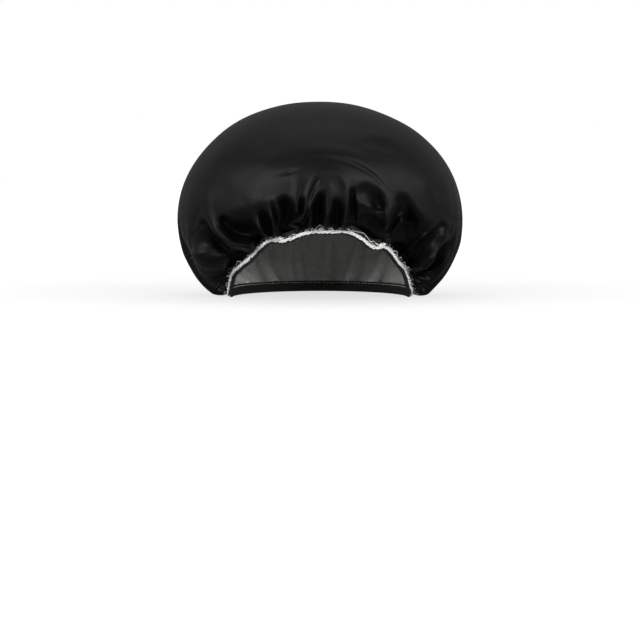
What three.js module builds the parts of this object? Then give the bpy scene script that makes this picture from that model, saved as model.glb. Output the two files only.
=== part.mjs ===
// A gathered shower cap in the shape it takes on a head: one round of black satin and one round of white
// waterproof film, gathered together into an elastic hem that is edged with white overlock thread.
// Millimetres, +Z up, forehead towards -Y. The cap stands on the back half of its hem.
import * as THREE from "three";

// The hem's line round the head: level from ear to ear behind, and climbing to the hairline in front.
const headHalfWidth = 73.2;
const headHalfDepth = 93;
const foreheadRise = 55.5;
const riseSofteningShare = 0.07;
// Waves that the gathers leave in the front of the hem: where (degrees from the forehead, + to the
// wearer's left), how high, as a share of the wave height, and how wide (degrees).
const hemWaveHeight = 3.4;
const hemWaveShares = [
  { angle: -72, rise: 0.7, spread: 6 },
  { angle: -50, rise: -1, spread: 10 },
  { angle: -32, rise: 0.53, spread: 6 },
  { angle: -20, rise: -1, spread: 9 },
  { angle: 17, rise: 0.56, spread: 8 },
  { angle: 33, rise: -0.94, spread: 6 },
  { angle: 46, rise: 0.94, spread: 7 },
  { angle: 66, rise: 0.38, spread: 6 },
  { angle: 77, rise: -0.56, spread: 5 },
];
const waveFadeShare = 0.2;

// The puffed body of the cap.
const capHalfWidth = 119.3;
const frontReach = 121;
const backReach = 136;
const crownHeight = 164;
// The height of its widest line, how far the cloth keeps dropping from there, and how far out and
// down the curled-under cloth reaches from the hem.
const frontBulgeHeight = 98;
const sideBulgeHeight = 65;
const backBulgeHeight = 62;
const frontBulgeDrop = 16;
const sideBulgeDrop = 20;
const backBulgeDrop = 26;
const frontLipReach = 13;
const sideLipReach = 17;
const backLipReach = 22;
const frontLipDrop = -4;
const sideLipDrop = 10;
const backLipDrop = 9;

// Cloth layers, from outside in, and the space that is kept between pieces that touch.
const satinThickness = 0.3;
const filmThickness = 0.25;
const clearance = 0.3;

// The hem, from the head outwards.
const tapeThickness = 0.3;
const tapeHeight = 9;
const elasticThickness = 0.6;
const elasticWidth = 6;
const elasticEndGap = 0.8;
const stitchThickness = 0.4;
const hemStitchSetback = 1.4;
const joinStitchLength = 12;
const joinStitchSetback = 0.9;
const joinStitchZigzags = 6;
const edgingThickness = 1.8;
const edgingHeight = 3.1;
const edgingLift = 1;

// Gathers: ridges that rise out of the hem and fade before the widest part of the cap. Each stands at an
// angle round the head, leans as it climbs, is so many degrees wide, and has a share of the height.
const gatherHeight = 5.2;
const gatherValleyDepth = 2;
const gatherEdgeShare = 0.12;
const gatherStartShare = -0.2;
const gatherFullShare = 0.55;
const gatherPinchShare = 0.7;
const frontGatherShares = [
  { angle: -84, height: 1, spread: 6, lean: -2 },
  { angle: -62, height: 0.6, spread: 5, lean: -10 },
  { angle: -49, height: 0.8, spread: 5, lean: -12 },
  { angle: -36, height: 1, spread: 3.6, lean: -8 },
  { angle: -27, height: 0.85, spread: 3.2, lean: -2 },
  { angle: -15, height: 1.05, spread: 4, lean: 0 },
  { angle: -6, height: 1, spread: 3.2, lean: 2 },
  { angle: 4.5, height: 0.95, spread: 3.6, lean: 1 },
  { angle: 16, height: 1, spread: 3.8, lean: 1 },
  { angle: 28, height: 0.5, spread: 3.2, lean: 4 },
  { angle: 46, height: 1.1, spread: 5, lean: -3 },
  { angle: 60, height: 0.65, spread: 4, lean: 4 },
  { angle: 73, height: 1, spread: 5, lean: 9 },
  { angle: 87, height: 0.8, spread: 5, lean: 4 },
];
const backGatherCount = 15;
const backGatherStart = 98;
const backGatherEnd = 263;
const backGatherSpread = 4.6;
const backGatherLean = 5;
// The back gathers are uneven by these shares, which come and go at these steps from one to the next.
const swayShare = 0.3;
const swayStep = 2.4;
const unevenHeightShare = 0.3;
const unevenHeightStep = 1.7;
const unevenSpreadShare = 0.25;
const leanStep = 2.9;

// Broad folds seen from the front: lines that the cloth stands proud of or sinks under. Their points
// are shares of the half width and of the crown's height.
const foldHeight = 4.4;
const foldWidth = 10;
const foldSideFade = 22;
const foldPinchShare = 0.6;
const frontFoldShares = [
  { path: [[-0.78, 0.56], [-0.75, 0.4], [-0.65, 0.32], [-0.52, 0.27]], width: 0.8, rise: 0.95 },
  { path: [[-0.8, 0.38], [-0.7, 0.27], [-0.62, 0.2]], width: 0.9, rise: -1 },
  { path: [[-0.8, 0.13], [-0.74, 0.09]], width: 1.2, rise: 0.6 },
  { path: [[0.55, 0.54], [0.67, 0.44], [0.79, 0.34]], width: 1, rise: 0.8 },
  { path: [[0.5, 0.44], [0.58, 0.34]], width: 0.9, rise: -1 },
  { path: [[0.84, 0.26], [0.76, 0.19], [0.69, 0.12]], width: 0.9, rise: 0.8 },
  { path: [[0.94, 0.3], [0.85, 0.2], [0.77, 0.12]], width: 0.8, rise: -0.6 },
];
// Soft dents and swellings of the crown, which give the outline its corners: their places are shares
// of the half width, the front reach and the crown's height.
const dentHeight = 1.8;
const dentReach = 20;
const crownDentShares = [
  { at: [-0.39, -0.02, 0.957], reach: 0.8, rise: 0.55 },
  { at: [-0.52, 0, 0.909], reach: 0.7, rise: -0.55 },
  { at: [-0.71, 0, 0.835], reach: 0.8, rise: 1 },
  { at: [-0.89, 0.03, 0.677], reach: 1.1, rise: -0.55 },
  { at: [0.39, 0, 0.951], reach: 0.7, rise: -0.5 },
  { at: [0.82, 0.02, 0.72], reach: 1, rise: -0.65 },
  { at: [0.94, 0.03, 0.561], reach: 1, rise: -0.9 },
];

// How finely the cloth is divided: rows from the crown (0) over the widest part (1) to the hem (2).
const clothRows = [
  { along: 0, around: 1 },
  { along: 0.22, around: 24 },
  { along: 0.43, around: 24 },
  { along: 0.62, around: 48 },
  { along: 0.81, around: 48 },
  { along: 1, around: 96 },
  { along: 1.27, around: 96 },
  { along: 1.52, around: 96 },
  { along: 1.76, around: 96 },
  { along: 2, around: 96 },
];
const normalStepShare = 1e-3;
const hemSteps = 96;
const edgingSides = 6;
const threadSides = 4;

const satin = new THREE.MeshStandardMaterial({ color: 0x242424, roughness: 0.45 });
const film = new THREE.MeshStandardMaterial({ color: 0xe9e9e6, roughness: 0.4 });
const blackTape = new THREE.MeshStandardMaterial({ color: 0x1b1b1c, roughness: 0.7 });
const whiteThread = new THREE.MeshStandardMaterial({ color: 0xf2f2f0, roughness: 0.8 });
const whiteElastic = new THREE.MeshStandardMaterial({ color: 0xe6e4df, roughness: 0.75 });

const { lerp, smoothstep, radToDeg } = THREE.MathUtils;

// A size that differs at the front, the side and the back, at an angle round the head.
function aroundHead(front, side, back, angle) {
  const facing = Math.cos(angle);
  return lerp(side, facing > 0 ? front : back, facing * facing);
}

function wrappedDegrees(angle) {
  return THREE.MathUtils.euclideanModulo(angle + 180, 360) - 180;
}

function bell(distance, spread) {
  return Math.exp(-((distance / spread) ** 2));
}

// A point of the hem's line on the head, where the tape's inner face has its lower edge.
function hemPoint(angle) {
  const facing = Math.max(0, Math.cos(angle));
  const climb = ((1 + riseSofteningShare) * facing ** 2) / (facing + riseSofteningShare);
  const degrees = radToDeg(angle);
  const waves = hemWaveShares.reduce(
    (sum, wave) => sum + wave.rise * bell(wrappedDegrees(degrees - wave.angle), wave.spread),
    0,
  );
  const waveRise = hemWaveHeight * waves * smoothstep(facing, 0, waveFadeShare);
  return new THREE.Vector3(
    headHalfWidth * Math.sin(angle),
    -headHalfDepth * Math.cos(angle),
    foreheadRise * climb + waveRise,
  );
}

// The level direction that points straight away from the head.
function hemOutward(angle) {
  return new THREE.Vector3(
    Math.sin(angle) / headHalfWidth,
    -Math.cos(angle) / headHalfDepth,
    0,
  ).normalize();
}

// A place in the hem: so far out from the head, and so far above the hem's lower edge.
function inHem(angle, out, up) {
  const place = hemPoint(angle).addScaledVector(hemOutward(angle), out);
  place.z += up;
  return place;
}

const tapeOutside =
  2 * tapeThickness + 3 * clearance + stitchThickness + elasticThickness;
const edgingInside = tapeOutside + clearance;
const clothEdgeUp = edgingLift + edgingHeight + clearance + gatherValleyDepth * gatherEdgeShare;
const clothStack = satinThickness + clearance + filmThickness;
const clothEdgeOut = tapeOutside + clearance + clothStack + gatherValleyDepth * gatherEdgeShare;

// The cloth's smooth form: an elliptic dome down to its widest line (along 0 to 1), which then curls
// under to the hem (along 1 to 2).
function smoothCloth(angle, along) {
  const reach = Math.cos(angle) > 0 ? frontReach : backReach;
  const widest = new THREE.Vector3(
    capHalfWidth * Math.sin(angle),
    -reach * Math.cos(angle),
    aroundHead(frontBulgeHeight, sideBulgeHeight, backBulgeHeight, angle),
  );
  if (along <= 1) {
    const turn = (along * Math.PI) / 2;
    return new THREE.Vector3(
      widest.x * Math.sin(turn),
      widest.y * Math.sin(turn),
      lerp(widest.z, crownHeight, Math.cos(turn)),
    );
  }
  const edge = inHem(angle, clothEdgeOut, clothEdgeUp);
  const below = widest.clone();
  below.z -= aroundHead(frontBulgeDrop, sideBulgeDrop, backBulgeDrop, angle);
  const lipReach = aroundHead(frontLipReach, sideLipReach, backLipReach, angle);
  const lip = edge.clone().addScaledVector(hemOutward(angle), lipReach);
  lip.z -= aroundHead(frontLipDrop, sideLipDrop, backLipDrop, angle);
  return new THREE.CubicBezierCurve3(widest, below, lip, edge).getPoint(along - 1);
}

const backGathers = Array.from({ length: backGatherCount }, (_, i) => {
  const sway = Math.sin(i * swayStep);
  const place = (i + swayShare * sway) / (backGatherCount - 1);
  return {
    angle: lerp(backGatherStart, backGatherEnd, place),
    height: 1 + unevenHeightShare * Math.cos(i * unevenHeightStep),
    spread: backGatherSpread * (1 + unevenSpreadShare * sway),
    lean: backGatherLean * Math.cos(i * leanStep),
  };
});
const gathers = [...frontGatherShares, ...backGathers];

// How far the gathers push the cloth out at a place.
function gatherRise(angle, along) {
  const towardsHem = along - 1;
  const strength =
    smoothstep(towardsHem, gatherStartShare, gatherFullShare) *
    lerp(1, gatherEdgeShare, smoothstep(towardsHem, gatherPinchShare, 1));
  const degrees = radToDeg(angle);
  const ridges = gathers.map(({ angle: foot, height, spread, lean }) => {
    const ridge = foot + lean * (1 - towardsHem);
    return height * bell(wrappedDegrees(degrees - ridge), spread);
  });
  return strength * (gatherHeight * Math.max(...ridges) - gatherValleyDepth);
}

// How far a point lies from a fold's line, seen from the front.
function distanceToFold(point, path) {
  const seen = new THREE.Vector3(point.x, 0, point.z);
  const corners = path.map(
    ([across, up]) => new THREE.Vector3(across * capHalfWidth, 0, up * crownHeight),
  );
  const legs = corners.slice(1).map((corner, i) =>
    new THREE.Line3(corners[i], corner)
      .closestPointToPoint(seen, true, new THREE.Vector3())
      .distanceTo(seen),
  );
  return Math.min(...legs);
}

// How far the broad folds and the crown's dents push the cloth out at a point.
function foldRise(point) {
  const facing = 1 - smoothstep(point.y, -foldSideFade, foldSideFade);
  const folds = frontFoldShares.reduce(
    (sum, { path, width, rise }) =>
      sum + rise * bell(distanceToFold(point, path), width * foldWidth),
    0,
  );
  const capSize = new THREE.Vector3(capHalfWidth, frontReach, crownHeight);
  const dents = crownDentShares.reduce((sum, { at, reach, rise }) => {
    const centre = new THREE.Vector3(...at).multiply(capSize);
    return sum + rise * bell(point.distanceTo(centre), reach * dentReach);
  }, 0);
  return foldHeight * facing * folds + dentHeight * dents;
}

// The straight-out direction of the smooth cloth, from two short steps along it.
function clothOutward(angle, along) {
  const step = normalStepShare;
  const at = Math.max(along, step);
  const sideways = smoothCloth(angle + step, at).sub(smoothCloth(angle - step, at));
  const down = smoothCloth(angle, Math.min(at + step, 2)).sub(smoothCloth(angle, at - step));
  return down.cross(sideways).normalize();
}

function clothPoint(angle, along) {
  const point = smoothCloth(angle, along);
  const edgeFade = 1 - smoothstep(along - 1, foldPinchShare, 1);
  const rise = gatherRise(angle, along) + foldRise(point) * edgeFade;
  return point.addScaledVector(clothOutward(angle, along), rise);
}

// The cloth's outer face: its points, the rows that they lie in, and its triangles.
function clothFace() {
  const points = [];
  const rows = clothRows.map(({ along, around }) => {
    const first = points.length;
    for (let i = 0; i < around; i++) points.push(clothPoint((2 * Math.PI * i) / around, along));
    return { first, around };
  });
  const triangles = [];
  rows.slice(1).forEach((lower, i) => {
    const upper = rows[i];
    const at = (row, k) => row.first + (k % row.around);
    const ratio = lower.around / upper.around;
    for (let k = 0; k < lower.around; k++) {
      const above = Math.floor(k / ratio);
      triangles.push(at(upper, above), at(lower, k), at(lower, k + 1));
      if (upper.around > 1 && (k + 1) % ratio === 0)
        triangles.push(at(upper, above), at(lower, k + 1), at(upper, above + 1));
    }
  });
  return { points, triangles, edge: rows.at(-1) };
}

const face = clothFace();
const faceGeometry = new THREE.BufferGeometry().setFromPoints(face.points);
faceGeometry.setIndex(face.triangles);
faceGeometry.computeVertexNormals();
const faceNormals = faceGeometry.getAttribute("normal");

// A layer of cloth that lies between two depths under the outer face.
function clothLayer(name, material, depth, thickness) {
  const count = face.points.length;
  const points = [depth, depth + thickness].flatMap((d) =>
    face.points.map((point, i) =>
      point.clone().addScaledVector(new THREE.Vector3().fromBufferAttribute(faceNormals, i), -d),
    ),
  );
  const outside = face.triangles;
  const inside = [];
  for (let i = 0; i < outside.length; i += 3)
    inside.push(outside[i] + count, outside[i + 2] + count, outside[i + 1] + count);
  const rim = [];
  for (let k = 0; k < face.edge.around; k++) {
    const here = face.edge.first + k;
    const next = face.edge.first + ((k + 1) % face.edge.around);
    rim.push(here, here + count, next, next, here + count, next + count);
  }
  const geometry = new THREE.BufferGeometry().setFromPoints(points);
  geometry.setIndex([...outside, ...inside, ...rim]);
  return namedMesh(name, geometry, material);
}

function namedMesh(name, geometry, material) {
  geometry.computeVertexNormals();
  const mesh = new THREE.Mesh(geometry, material);
  mesh.name = name;
  return mesh;
}

// A solid with one outline, in hem distances out and up, for each of a list of angles. The list closes
// on itself unless ends are asked for.
function hemSweep(name, material, outlines, angles, hasEnds = false) {
  const points = angles.flatMap((angle, i) =>
    outlines[i].map(([out, up]) => inHem(angle, out, up)),
  );
  const sides = outlines[0].length;
  const triangles = [];
  const spans = hasEnds ? angles.length - 1 : angles.length;
  for (let i = 0; i < spans; i++) {
    const next = (i + 1) % angles.length;
    for (let k = 0; k < sides; k++) {
      const [a, b] = [i * sides + k, i * sides + ((k + 1) % sides)];
      const [c, d] = [next * sides + k, next * sides + ((k + 1) % sides)];
      triangles.push(a, c, b, b, c, d);
    }
  }
  if (hasEnds) {
    const last = (angles.length - 1) * sides;
    const end = THREE.ShapeUtils.triangulateShape(
      outlines[0].map(([out, up]) => new THREE.Vector2(out, up)),
      [],
    );
    end.forEach(([a, b, c]) => triangles.push(a, b, c, last + a, last + c, last + b));
  }
  const geometry = new THREE.BufferGeometry().setFromPoints(points);
  geometry.setIndex(triangles);
  return namedMesh(name, geometry, material);
}

function sameOutline(outline, angles) {
  return angles.map(() => outline);
}

function box(outFrom, outTo, upFrom, upTo) {
  return [
    [outFrom, upFrom],
    [outTo, upFrom],
    [outTo, upTo],
    [outFrom, upTo],
  ];
}

function oval(out, up, width, height, sides) {
  return Array.from({ length: sides }, (_, i) => {
    const turn = (2 * Math.PI * i) / sides;
    return [out + (width / 2) * Math.cos(turn), up + (height / 2) * Math.sin(turn)];
  });
}

const allRound = Array.from({ length: hemSteps }, (_, i) => (2 * Math.PI * i) / hemSteps);
const elasticInside = tapeThickness + 2 * clearance + stitchThickness;
const elasticFoot = tapeThickness + clearance;
const endTurn = elasticEndGap / 2 / headHalfWidth;
const elasticAngles = [
  Math.PI + endTurn,
  ...allRound.map((angle) => angle + Math.PI).slice(1),
  3 * Math.PI - endTurn,
];

function hemTape() {
  const outside = tapeOutside;
  const outline = [
    [0, 0],
    [outside, 0],
    [outside, tapeHeight],
    [outside - tapeThickness, tapeHeight],
    [outside - tapeThickness, tapeThickness],
    [tapeThickness, tapeThickness],
    [tapeThickness, tapeHeight],
    [0, tapeHeight],
  ];
  return hemSweep("hem_tape", blackTape, sameOutline(outline, allRound), allRound);
}

function elasticBand() {
  const outline = box(
    elasticInside,
    elasticInside + elasticThickness,
    elasticFoot,
    elasticFoot + elasticWidth,
  );
  const outlines = sameOutline(outline, elasticAngles);
  return hemSweep("elastic_band", whiteElastic, outlines, elasticAngles, true);
}

function overlockEdging() {
  const outline = oval(
    edgingInside + edgingThickness / 2,
    edgingLift + edgingHeight / 2,
    edgingThickness,
    edgingHeight,
    edgingSides,
  );
  return hemSweep("overlock_edging", whiteThread, sameOutline(outline, allRound), allRound);
}

function hemStitchThread() {
  const outline = oval(
    -clearance - stitchThickness / 2,
    tapeHeight - hemStitchSetback,
    stitchThickness,
    stitchThickness,
    threadSides,
  );
  return hemSweep("hem_stitch_thread", whiteThread, sameOutline(outline, allRound), allRound);
}

// The zigzag that joins the elastic's two ends, in the tape's channel at the nape.
function elasticJoinStitch() {
  const out = tapeThickness + clearance;
  const across = joinStitchLength / joinStitchZigzags;
  const climb = elasticWidth - 2 * joinStitchSetback;
  const halfHeight = (stitchThickness / 2) * (Math.hypot(across, climb) / across);
  const turns = Array.from({ length: joinStitchZigzags + 1 }, (_, i) => i);
  const outlines = turns.map((i) => {
    const up = elasticFoot + joinStitchSetback + (i % 2) * climb;
    return box(out, out + stitchThickness, up - halfHeight, up + halfHeight);
  });
  const angles = turns.map((i) => Math.PI + (i * across - joinStitchLength / 2) / headHalfWidth);
  return hemSweep("elastic_join_stitch", whiteThread, outlines, angles, true);
}

const cap = new THREE.Group();
cap.add(
  clothLayer("satin_shell", satin, 0, satinThickness),
  clothLayer("waterproof_lining", film, satinThickness + clearance, filmThickness),
  hemTape(),
  elasticBand(),
  overlockEdging(),
  hemStitchThread(),
  elasticJoinStitch(),
);

// The origin is under the middle of the cap, on the plane that it stands on.
const extent = new THREE.Box3().setFromObject(cap);
const middle = extent.getCenter(new THREE.Vector3());
cap.position.set(-middle.x, -middle.y, -extent.min.z);

export default cap;
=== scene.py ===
"""A gathered satin shower cap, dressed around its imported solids.

The cap is two rounds of cloth, black satin outside and milky film inside, gathered together into a
taped elastic hem whose edge is bound with white overlock thread. Sizes are in millimetres in the
classes, as on a pattern sheet, and become metres when a mesh is made. Angles go round the head from
the forehead, towards the wearer's left.
"""

from __future__ import annotations

import logging
import math
from dataclasses import dataclass, field
from enum import Enum

import bpy
import numpy as np
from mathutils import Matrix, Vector

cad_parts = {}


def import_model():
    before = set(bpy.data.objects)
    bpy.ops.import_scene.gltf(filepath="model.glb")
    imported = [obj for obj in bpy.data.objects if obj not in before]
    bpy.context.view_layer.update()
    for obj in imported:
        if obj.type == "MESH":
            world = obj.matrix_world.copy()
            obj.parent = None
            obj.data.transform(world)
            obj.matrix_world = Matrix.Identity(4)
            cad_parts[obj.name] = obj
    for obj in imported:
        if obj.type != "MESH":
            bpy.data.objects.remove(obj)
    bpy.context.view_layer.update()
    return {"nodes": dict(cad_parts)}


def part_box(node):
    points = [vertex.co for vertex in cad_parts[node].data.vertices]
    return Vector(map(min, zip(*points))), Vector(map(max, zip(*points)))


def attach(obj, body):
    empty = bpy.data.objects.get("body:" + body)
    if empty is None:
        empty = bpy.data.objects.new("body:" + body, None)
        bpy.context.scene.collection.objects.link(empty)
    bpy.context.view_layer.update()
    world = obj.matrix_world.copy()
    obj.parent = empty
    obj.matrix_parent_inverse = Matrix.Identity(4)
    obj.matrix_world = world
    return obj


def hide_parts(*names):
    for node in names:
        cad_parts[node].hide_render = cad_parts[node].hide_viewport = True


MM = 0.001
TINY = 1e-6
BODY = "root"
LOG = logging.getLogger("shower_cap")

Array = np.ndarray
Waves = tuple[tuple[float, float, float], ...]


class Slot(Enum):
    """The record's material slots."""

    SATIN = "satin"
    FILM = "film"
    TAPE = "hem_tape"
    ELASTIC = "elastic"
    THREAD = "thread"


# Small helpers


def linear(colour: str) -> tuple[float, float, float, float]:
    """Turn an sRGB hex colour into linear light.

    Args:
        colour: Six hex digits after a hash, such as "#1b1b1c".

    Returns:
        Linear red, green and blue, and an alpha of 1.
    """
    parts = [int(colour[i : i + 2], 16) / 255 for i in (1, 3, 5)]
    light = [c / 12.92 if c <= 0.04045 else ((c + 0.055) / 1.055) ** 2.4 for c in parts]
    return (light[0], light[1], light[2], 1.0)


def add_node(
    tree: bpy.types.NodeTree, kind: str, settings: dict | None = None, links: dict | None = None
) -> bpy.types.Node:
    """Add a node with its settings and links.

    Args:
        tree: The node tree to add to.
        kind: Blender's name for the node type.
        settings: Values by name: a property of the node, or else one of its inputs.
        links: Output sockets by the name or number of the input they feed.

    Returns:
        The new node.
    """
    node = tree.nodes.new(kind)
    for name, value in (settings or {}).items():
        if isinstance(name, str) and hasattr(node, name):
            setattr(node, name, value)
        else:
            node.inputs[name].default_value = value
    for name, socket in (links or {}).items():
        tree.links.new(socket, node.inputs[name])
    return node


def new_material(name: str) -> tuple[bpy.types.Material, bpy.types.Node]:
    """Make a material with a bare principled shader.

    Args:
        name: The finish's name.

    Returns:
        The material and its principled node.
    """
    material = bpy.data.materials.new(name)
    material.use_nodes = True
    return material, material.node_tree.nodes["Principled BSDF"]


def ease(value: Array, low: float, high: float) -> Array:
    """Rise smoothly from 0 at low to 1 at high."""
    t = np.clip((value - low) / (high - low), 0, 1)
    return t * t * (3 - 2 * t)


def mix(a: Array | float, b: Array | float, share: Array | float) -> Array:
    """Blend from a to b by a share."""
    return a + (b - a) * share


def bell(distance: Array, spread: Array | float) -> Array:
    """Give 1 at no distance, fading on both sides over the spread."""
    return np.exp(-((distance / spread) ** 2))


def wrapped(degrees: Array) -> Array:
    """Bring angles in degrees into the half turn on either side of 0."""
    return (degrees + 180) % 360 - 180


def wavy(turn: Array, waves: Waves, middle: Array | float = 0.0) -> Array:
    """Add up waves that run round the head.

    Args:
        turn: Angles round the head, in radians.
        waves: Each wave's count round the head, its height and its phase in radians.
        middle: The value that they rise and fall about.

    Returns:
        The sums.
    """
    found = middle
    for count, height, phase in waves:
        found = found + height * np.sin(count * turn + phase)
    return found


def unit(vectors: Array) -> Array:
    """Scale vectors along the last axis to length 1."""
    return vectors / np.maximum(np.linalg.norm(vectors, axis=-1, keepdims=True), 1e-9)


def make_piece(
    name: str, points: Array, faces: list, material: bpy.types.Material, smooth: bool = True
) -> bpy.types.Object:
    """Make a mesh object in the scene.

    Args:
        name: The piece's name.
        points: Corner points in metres, in the row frame.
        faces: Point numbers of each face.
        material: The piece's finish.
        smooth: Whether the faces are shaded smooth.

    Returns:
        The new object.
    """
    mesh = bpy.data.meshes.new(name)
    mesh.from_pydata(points.tolist(), [], faces)
    mesh.polygons.foreach_set("use_smooth", [smooth] * len(mesh.polygons))
    mesh.materials.append(material)
    mesh.update()
    piece = bpy.data.objects.new(name, mesh)
    bpy.context.scene.collection.objects.link(piece)
    return piece


def seat(piece: bpy.types.Object, slot: Slot, *nodes: str) -> bpy.types.Object:
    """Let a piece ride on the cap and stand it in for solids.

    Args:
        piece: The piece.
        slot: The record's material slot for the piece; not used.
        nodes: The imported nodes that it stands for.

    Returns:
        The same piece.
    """
    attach(piece, BODY)
    if nodes:
        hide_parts(*nodes)
    LOG.info("%s: %d faces", piece.name, len(piece.data.polygons))
    return piece


def tube(path: Array, radius: Array | float, sides: int, closed: bool) -> tuple[Array, list]:
    """Carry a round section along a path.

    Args:
        path: Points of the centre line, in metres.
        radius: The tube's radius, in metres, at each point or everywhere.
        sides: Corners of the section.
        closed: Whether the path closes on itself.

    Returns:
        The tube's points and faces.
    """
    count = len(path)
    ahead = np.roll(path, -1, 0) - np.roll(path, 1, 0)
    if not closed:
        ahead[0], ahead[-1] = path[1] - path[0], path[-1] - path[-2]
    ahead = unit(ahead)
    across = np.zeros_like(path)
    across[0] = unit(np.cross(ahead[0], [0.31, 0.22, 0.93]))
    for i in range(1, count):
        across[i] = unit(across[i - 1] - ahead[i] * (across[i - 1] @ ahead[i]))
    if closed:
        last = unit(across[-1] - ahead[0] * (across[-1] @ ahead[0]))
        slip = math.atan2(np.cross(across[0], last) @ ahead[0], across[0] @ last)
        turn = -slip * np.arange(count)[:, None] / count
        across = across * np.cos(turn) + np.cross(ahead, across) * np.sin(turn)
    beside = np.cross(ahead, across)
    corner = np.arange(sides) * math.tau / sides
    reach = np.broadcast_to(np.asarray(radius, float), (count,))[:, None, None]
    ring = across[:, None] * np.cos(corner)[None, :, None] + beside[:, None] * np.sin(corner)[None, :, None]
    points = (path[:, None] + ring * reach).reshape(-1, 3)
    faces = []
    for i in range(count if closed else count - 1):
        here, there = i * sides, (i + 1) % count * sides
        for k in range(sides):
            after = (k + 1) % sides
            faces.append((here + k, here + after, there + after, there + k))
    if not closed:
        faces.append(tuple(range(sides))[::-1])
        faces.append(tuple((count - 1) * sides + k for k in range(sides)))
    return points, faces


def joined(parts: list[tuple[Array, list]]) -> tuple[Array, list]:
    """Put several meshes into one.

    Args:
        parts: Each mesh's points and faces.

    Returns:
        All points, and all faces with their point numbers moved on.
    """
    points, faces, first = [], [], 0
    for own_points, own_faces in parts:
        points.append(own_points)
        faces.extend(tuple(first + i for i in face) for face in own_faces)
        first += len(own_points)
    return np.concatenate(points), faces


# Finishes


@dataclass(frozen=True)
class BlackSatin:
    """Black polyester satin, woven with long floats and calendered.

    The floats lie side by side and mirror softly along themselves, so the cloth shows a broad, slightly
    streaky sheen on its bulges and goes quite black in its hollows. That streaky look is partly real, from
    rougher and smoother floats, and partly painted sheen, from lighter streak lines in its colour.
    """

    colour: str = "#060607"
    # Colour of the lighter streak lines: painted sheen.
    painted_sheen_colour: str = "#080809"
    tint_span: tuple[float, float] = (0.3, 0.75)
    roughness: float = 0.45
    smoother: float = 0.05
    rougher: float = 0.07
    gloss: float = 0.15
    # Floats are about 0.15 mm apart; drawn three times as coarse, or the render would not show them.
    float_spacing_mm: float = 0.45
    streak_length_mm: float = 26.0
    streak_width_mm: float = 1.6
    float_bump: float = 0.05

    def make(self) -> bpy.types.Material:
        """Make the material; its weave follows the flat cut that the UV map holds.

        Returns:
            The material.
        """
        material, shader = new_material("black_satin")
        tree = material.node_tree
        cut = add_node(tree, "ShaderNodeUVMap", {"uv_map": "cut"}).outputs["UV"]
        streaks_at = add_node(
            tree,
            "ShaderNodeMapping",
            {"Scale": (1 / (self.streak_width_mm * MM), 1 / (self.streak_length_mm * MM), 1)},
            {"Vector": cut},
        )
        sheen_streaks = add_node(
            tree,
            "ShaderNodeTexNoise",
            {"Scale": 1.0, "Detail": 3.0, "Roughness": 0.6},
            {"Vector": streaks_at.outputs["Vector"]},
        )
        # The streak noise lightens the colour a little, which is painted sheen, and varies the roughness,
        # which gives real sheen.
        tint = add_node(tree, "ShaderNodeValToRGB", {}, {"Fac": sheen_streaks.outputs["Fac"]})
        colours = (self.colour, self.painted_sheen_colour)
        for stop, position, colour in zip(tint.color_ramp.elements, self.tint_span, colours):
            stop.position = position
            stop.color = linear(colour)
        rough = add_node(
            tree,
            "ShaderNodeMapRange",
            {"To Min": self.roughness - self.smoother, "To Max": self.roughness + self.rougher},
            {"Value": sheen_streaks.outputs["Fac"]},
        )
        floats = add_node(
            tree,
            "ShaderNodeTexWave",
            {
                "wave_type": "BANDS",
                "bands_direction": "DIAGONAL",
                "Scale": 1 / (self.float_spacing_mm * MM) / math.tau,
                "Distortion": 0.6,
                "Detail": 1.0,
            },
            {"Vector": cut},
        )
        bump = add_node(
            tree,
            "ShaderNodeBump",
            {"Strength": self.float_bump, "Distance": self.float_spacing_mm * MM},
            {"Height": floats.outputs["Fac"]},
        )
        tree.links.new(tint.outputs["Color"], shader.inputs["Base Color"])
        tree.links.new(rough.outputs["Result"], shader.inputs["Roughness"])
        tree.links.new(bump.outputs["Normal"], shader.inputs["Normal"])
        shader.inputs["Specular IOR Level"].default_value = self.gloss
        return material


@dataclass(frozen=True)
class MilkyFilm:
    """Milky white waterproof film, cast thin and supple.

    It is nearly matt, slightly cloudy, and covered in fine crinkles from being folded.
    """

    colour: str = "#eeeeea"
    crease_colour: str = "#dededb"
    tint_span: tuple[float, float] = (0.3, 0.65)
    roughness: float = 0.46
    crinkle_mm: float = 9.0
    clouds_per_crinkle: float = 1.7
    crinkle_bump: float = 0.35
    relief_mm: float = 0.8

    def make(self) -> bpy.types.Material:
        """Make the material.

        Returns:
            The material.
        """
        material, shader = new_material("milky_film")
        tree = material.node_tree
        place = add_node(tree, "ShaderNodeTexCoord").outputs["Object"]
        crinkles = add_node(
            tree,
            "ShaderNodeTexVoronoi",
            {"feature": "DISTANCE_TO_EDGE", "Scale": 1 / (self.crinkle_mm * MM)},
            {"Vector": place},
        )
        clouds = add_node(
            tree,
            "ShaderNodeTexNoise",
            {"Scale": 1 / (self.crinkle_mm * MM) * self.clouds_per_crinkle, "Detail": 5.0, "Roughness": 0.6},
            {"Vector": place},
        )
        height = add_node(
            tree,
            "ShaderNodeMath",
            {"operation": "MULTIPLY"},
            {0: crinkles.outputs["Distance"], 1: clouds.outputs["Fac"]},
        )
        tint = add_node(tree, "ShaderNodeValToRGB", {}, {"Fac": clouds.outputs["Fac"]})
        colours = (self.crease_colour, self.colour)
        for stop, position, colour in zip(tint.color_ramp.elements, self.tint_span, colours):
            stop.position = position
            stop.color = linear(colour)
        bump = add_node(
            tree,
            "ShaderNodeBump",
            {"Strength": self.crinkle_bump, "Distance": self.relief_mm * MM},
            {"Height": height.outputs["Value"]},
        )
        tree.links.new(tint.outputs["Color"], shader.inputs["Base Color"])
        tree.links.new(bump.outputs["Normal"], shader.inputs["Normal"])
        shader.inputs["Roughness"].default_value = self.roughness
        return material


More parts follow.
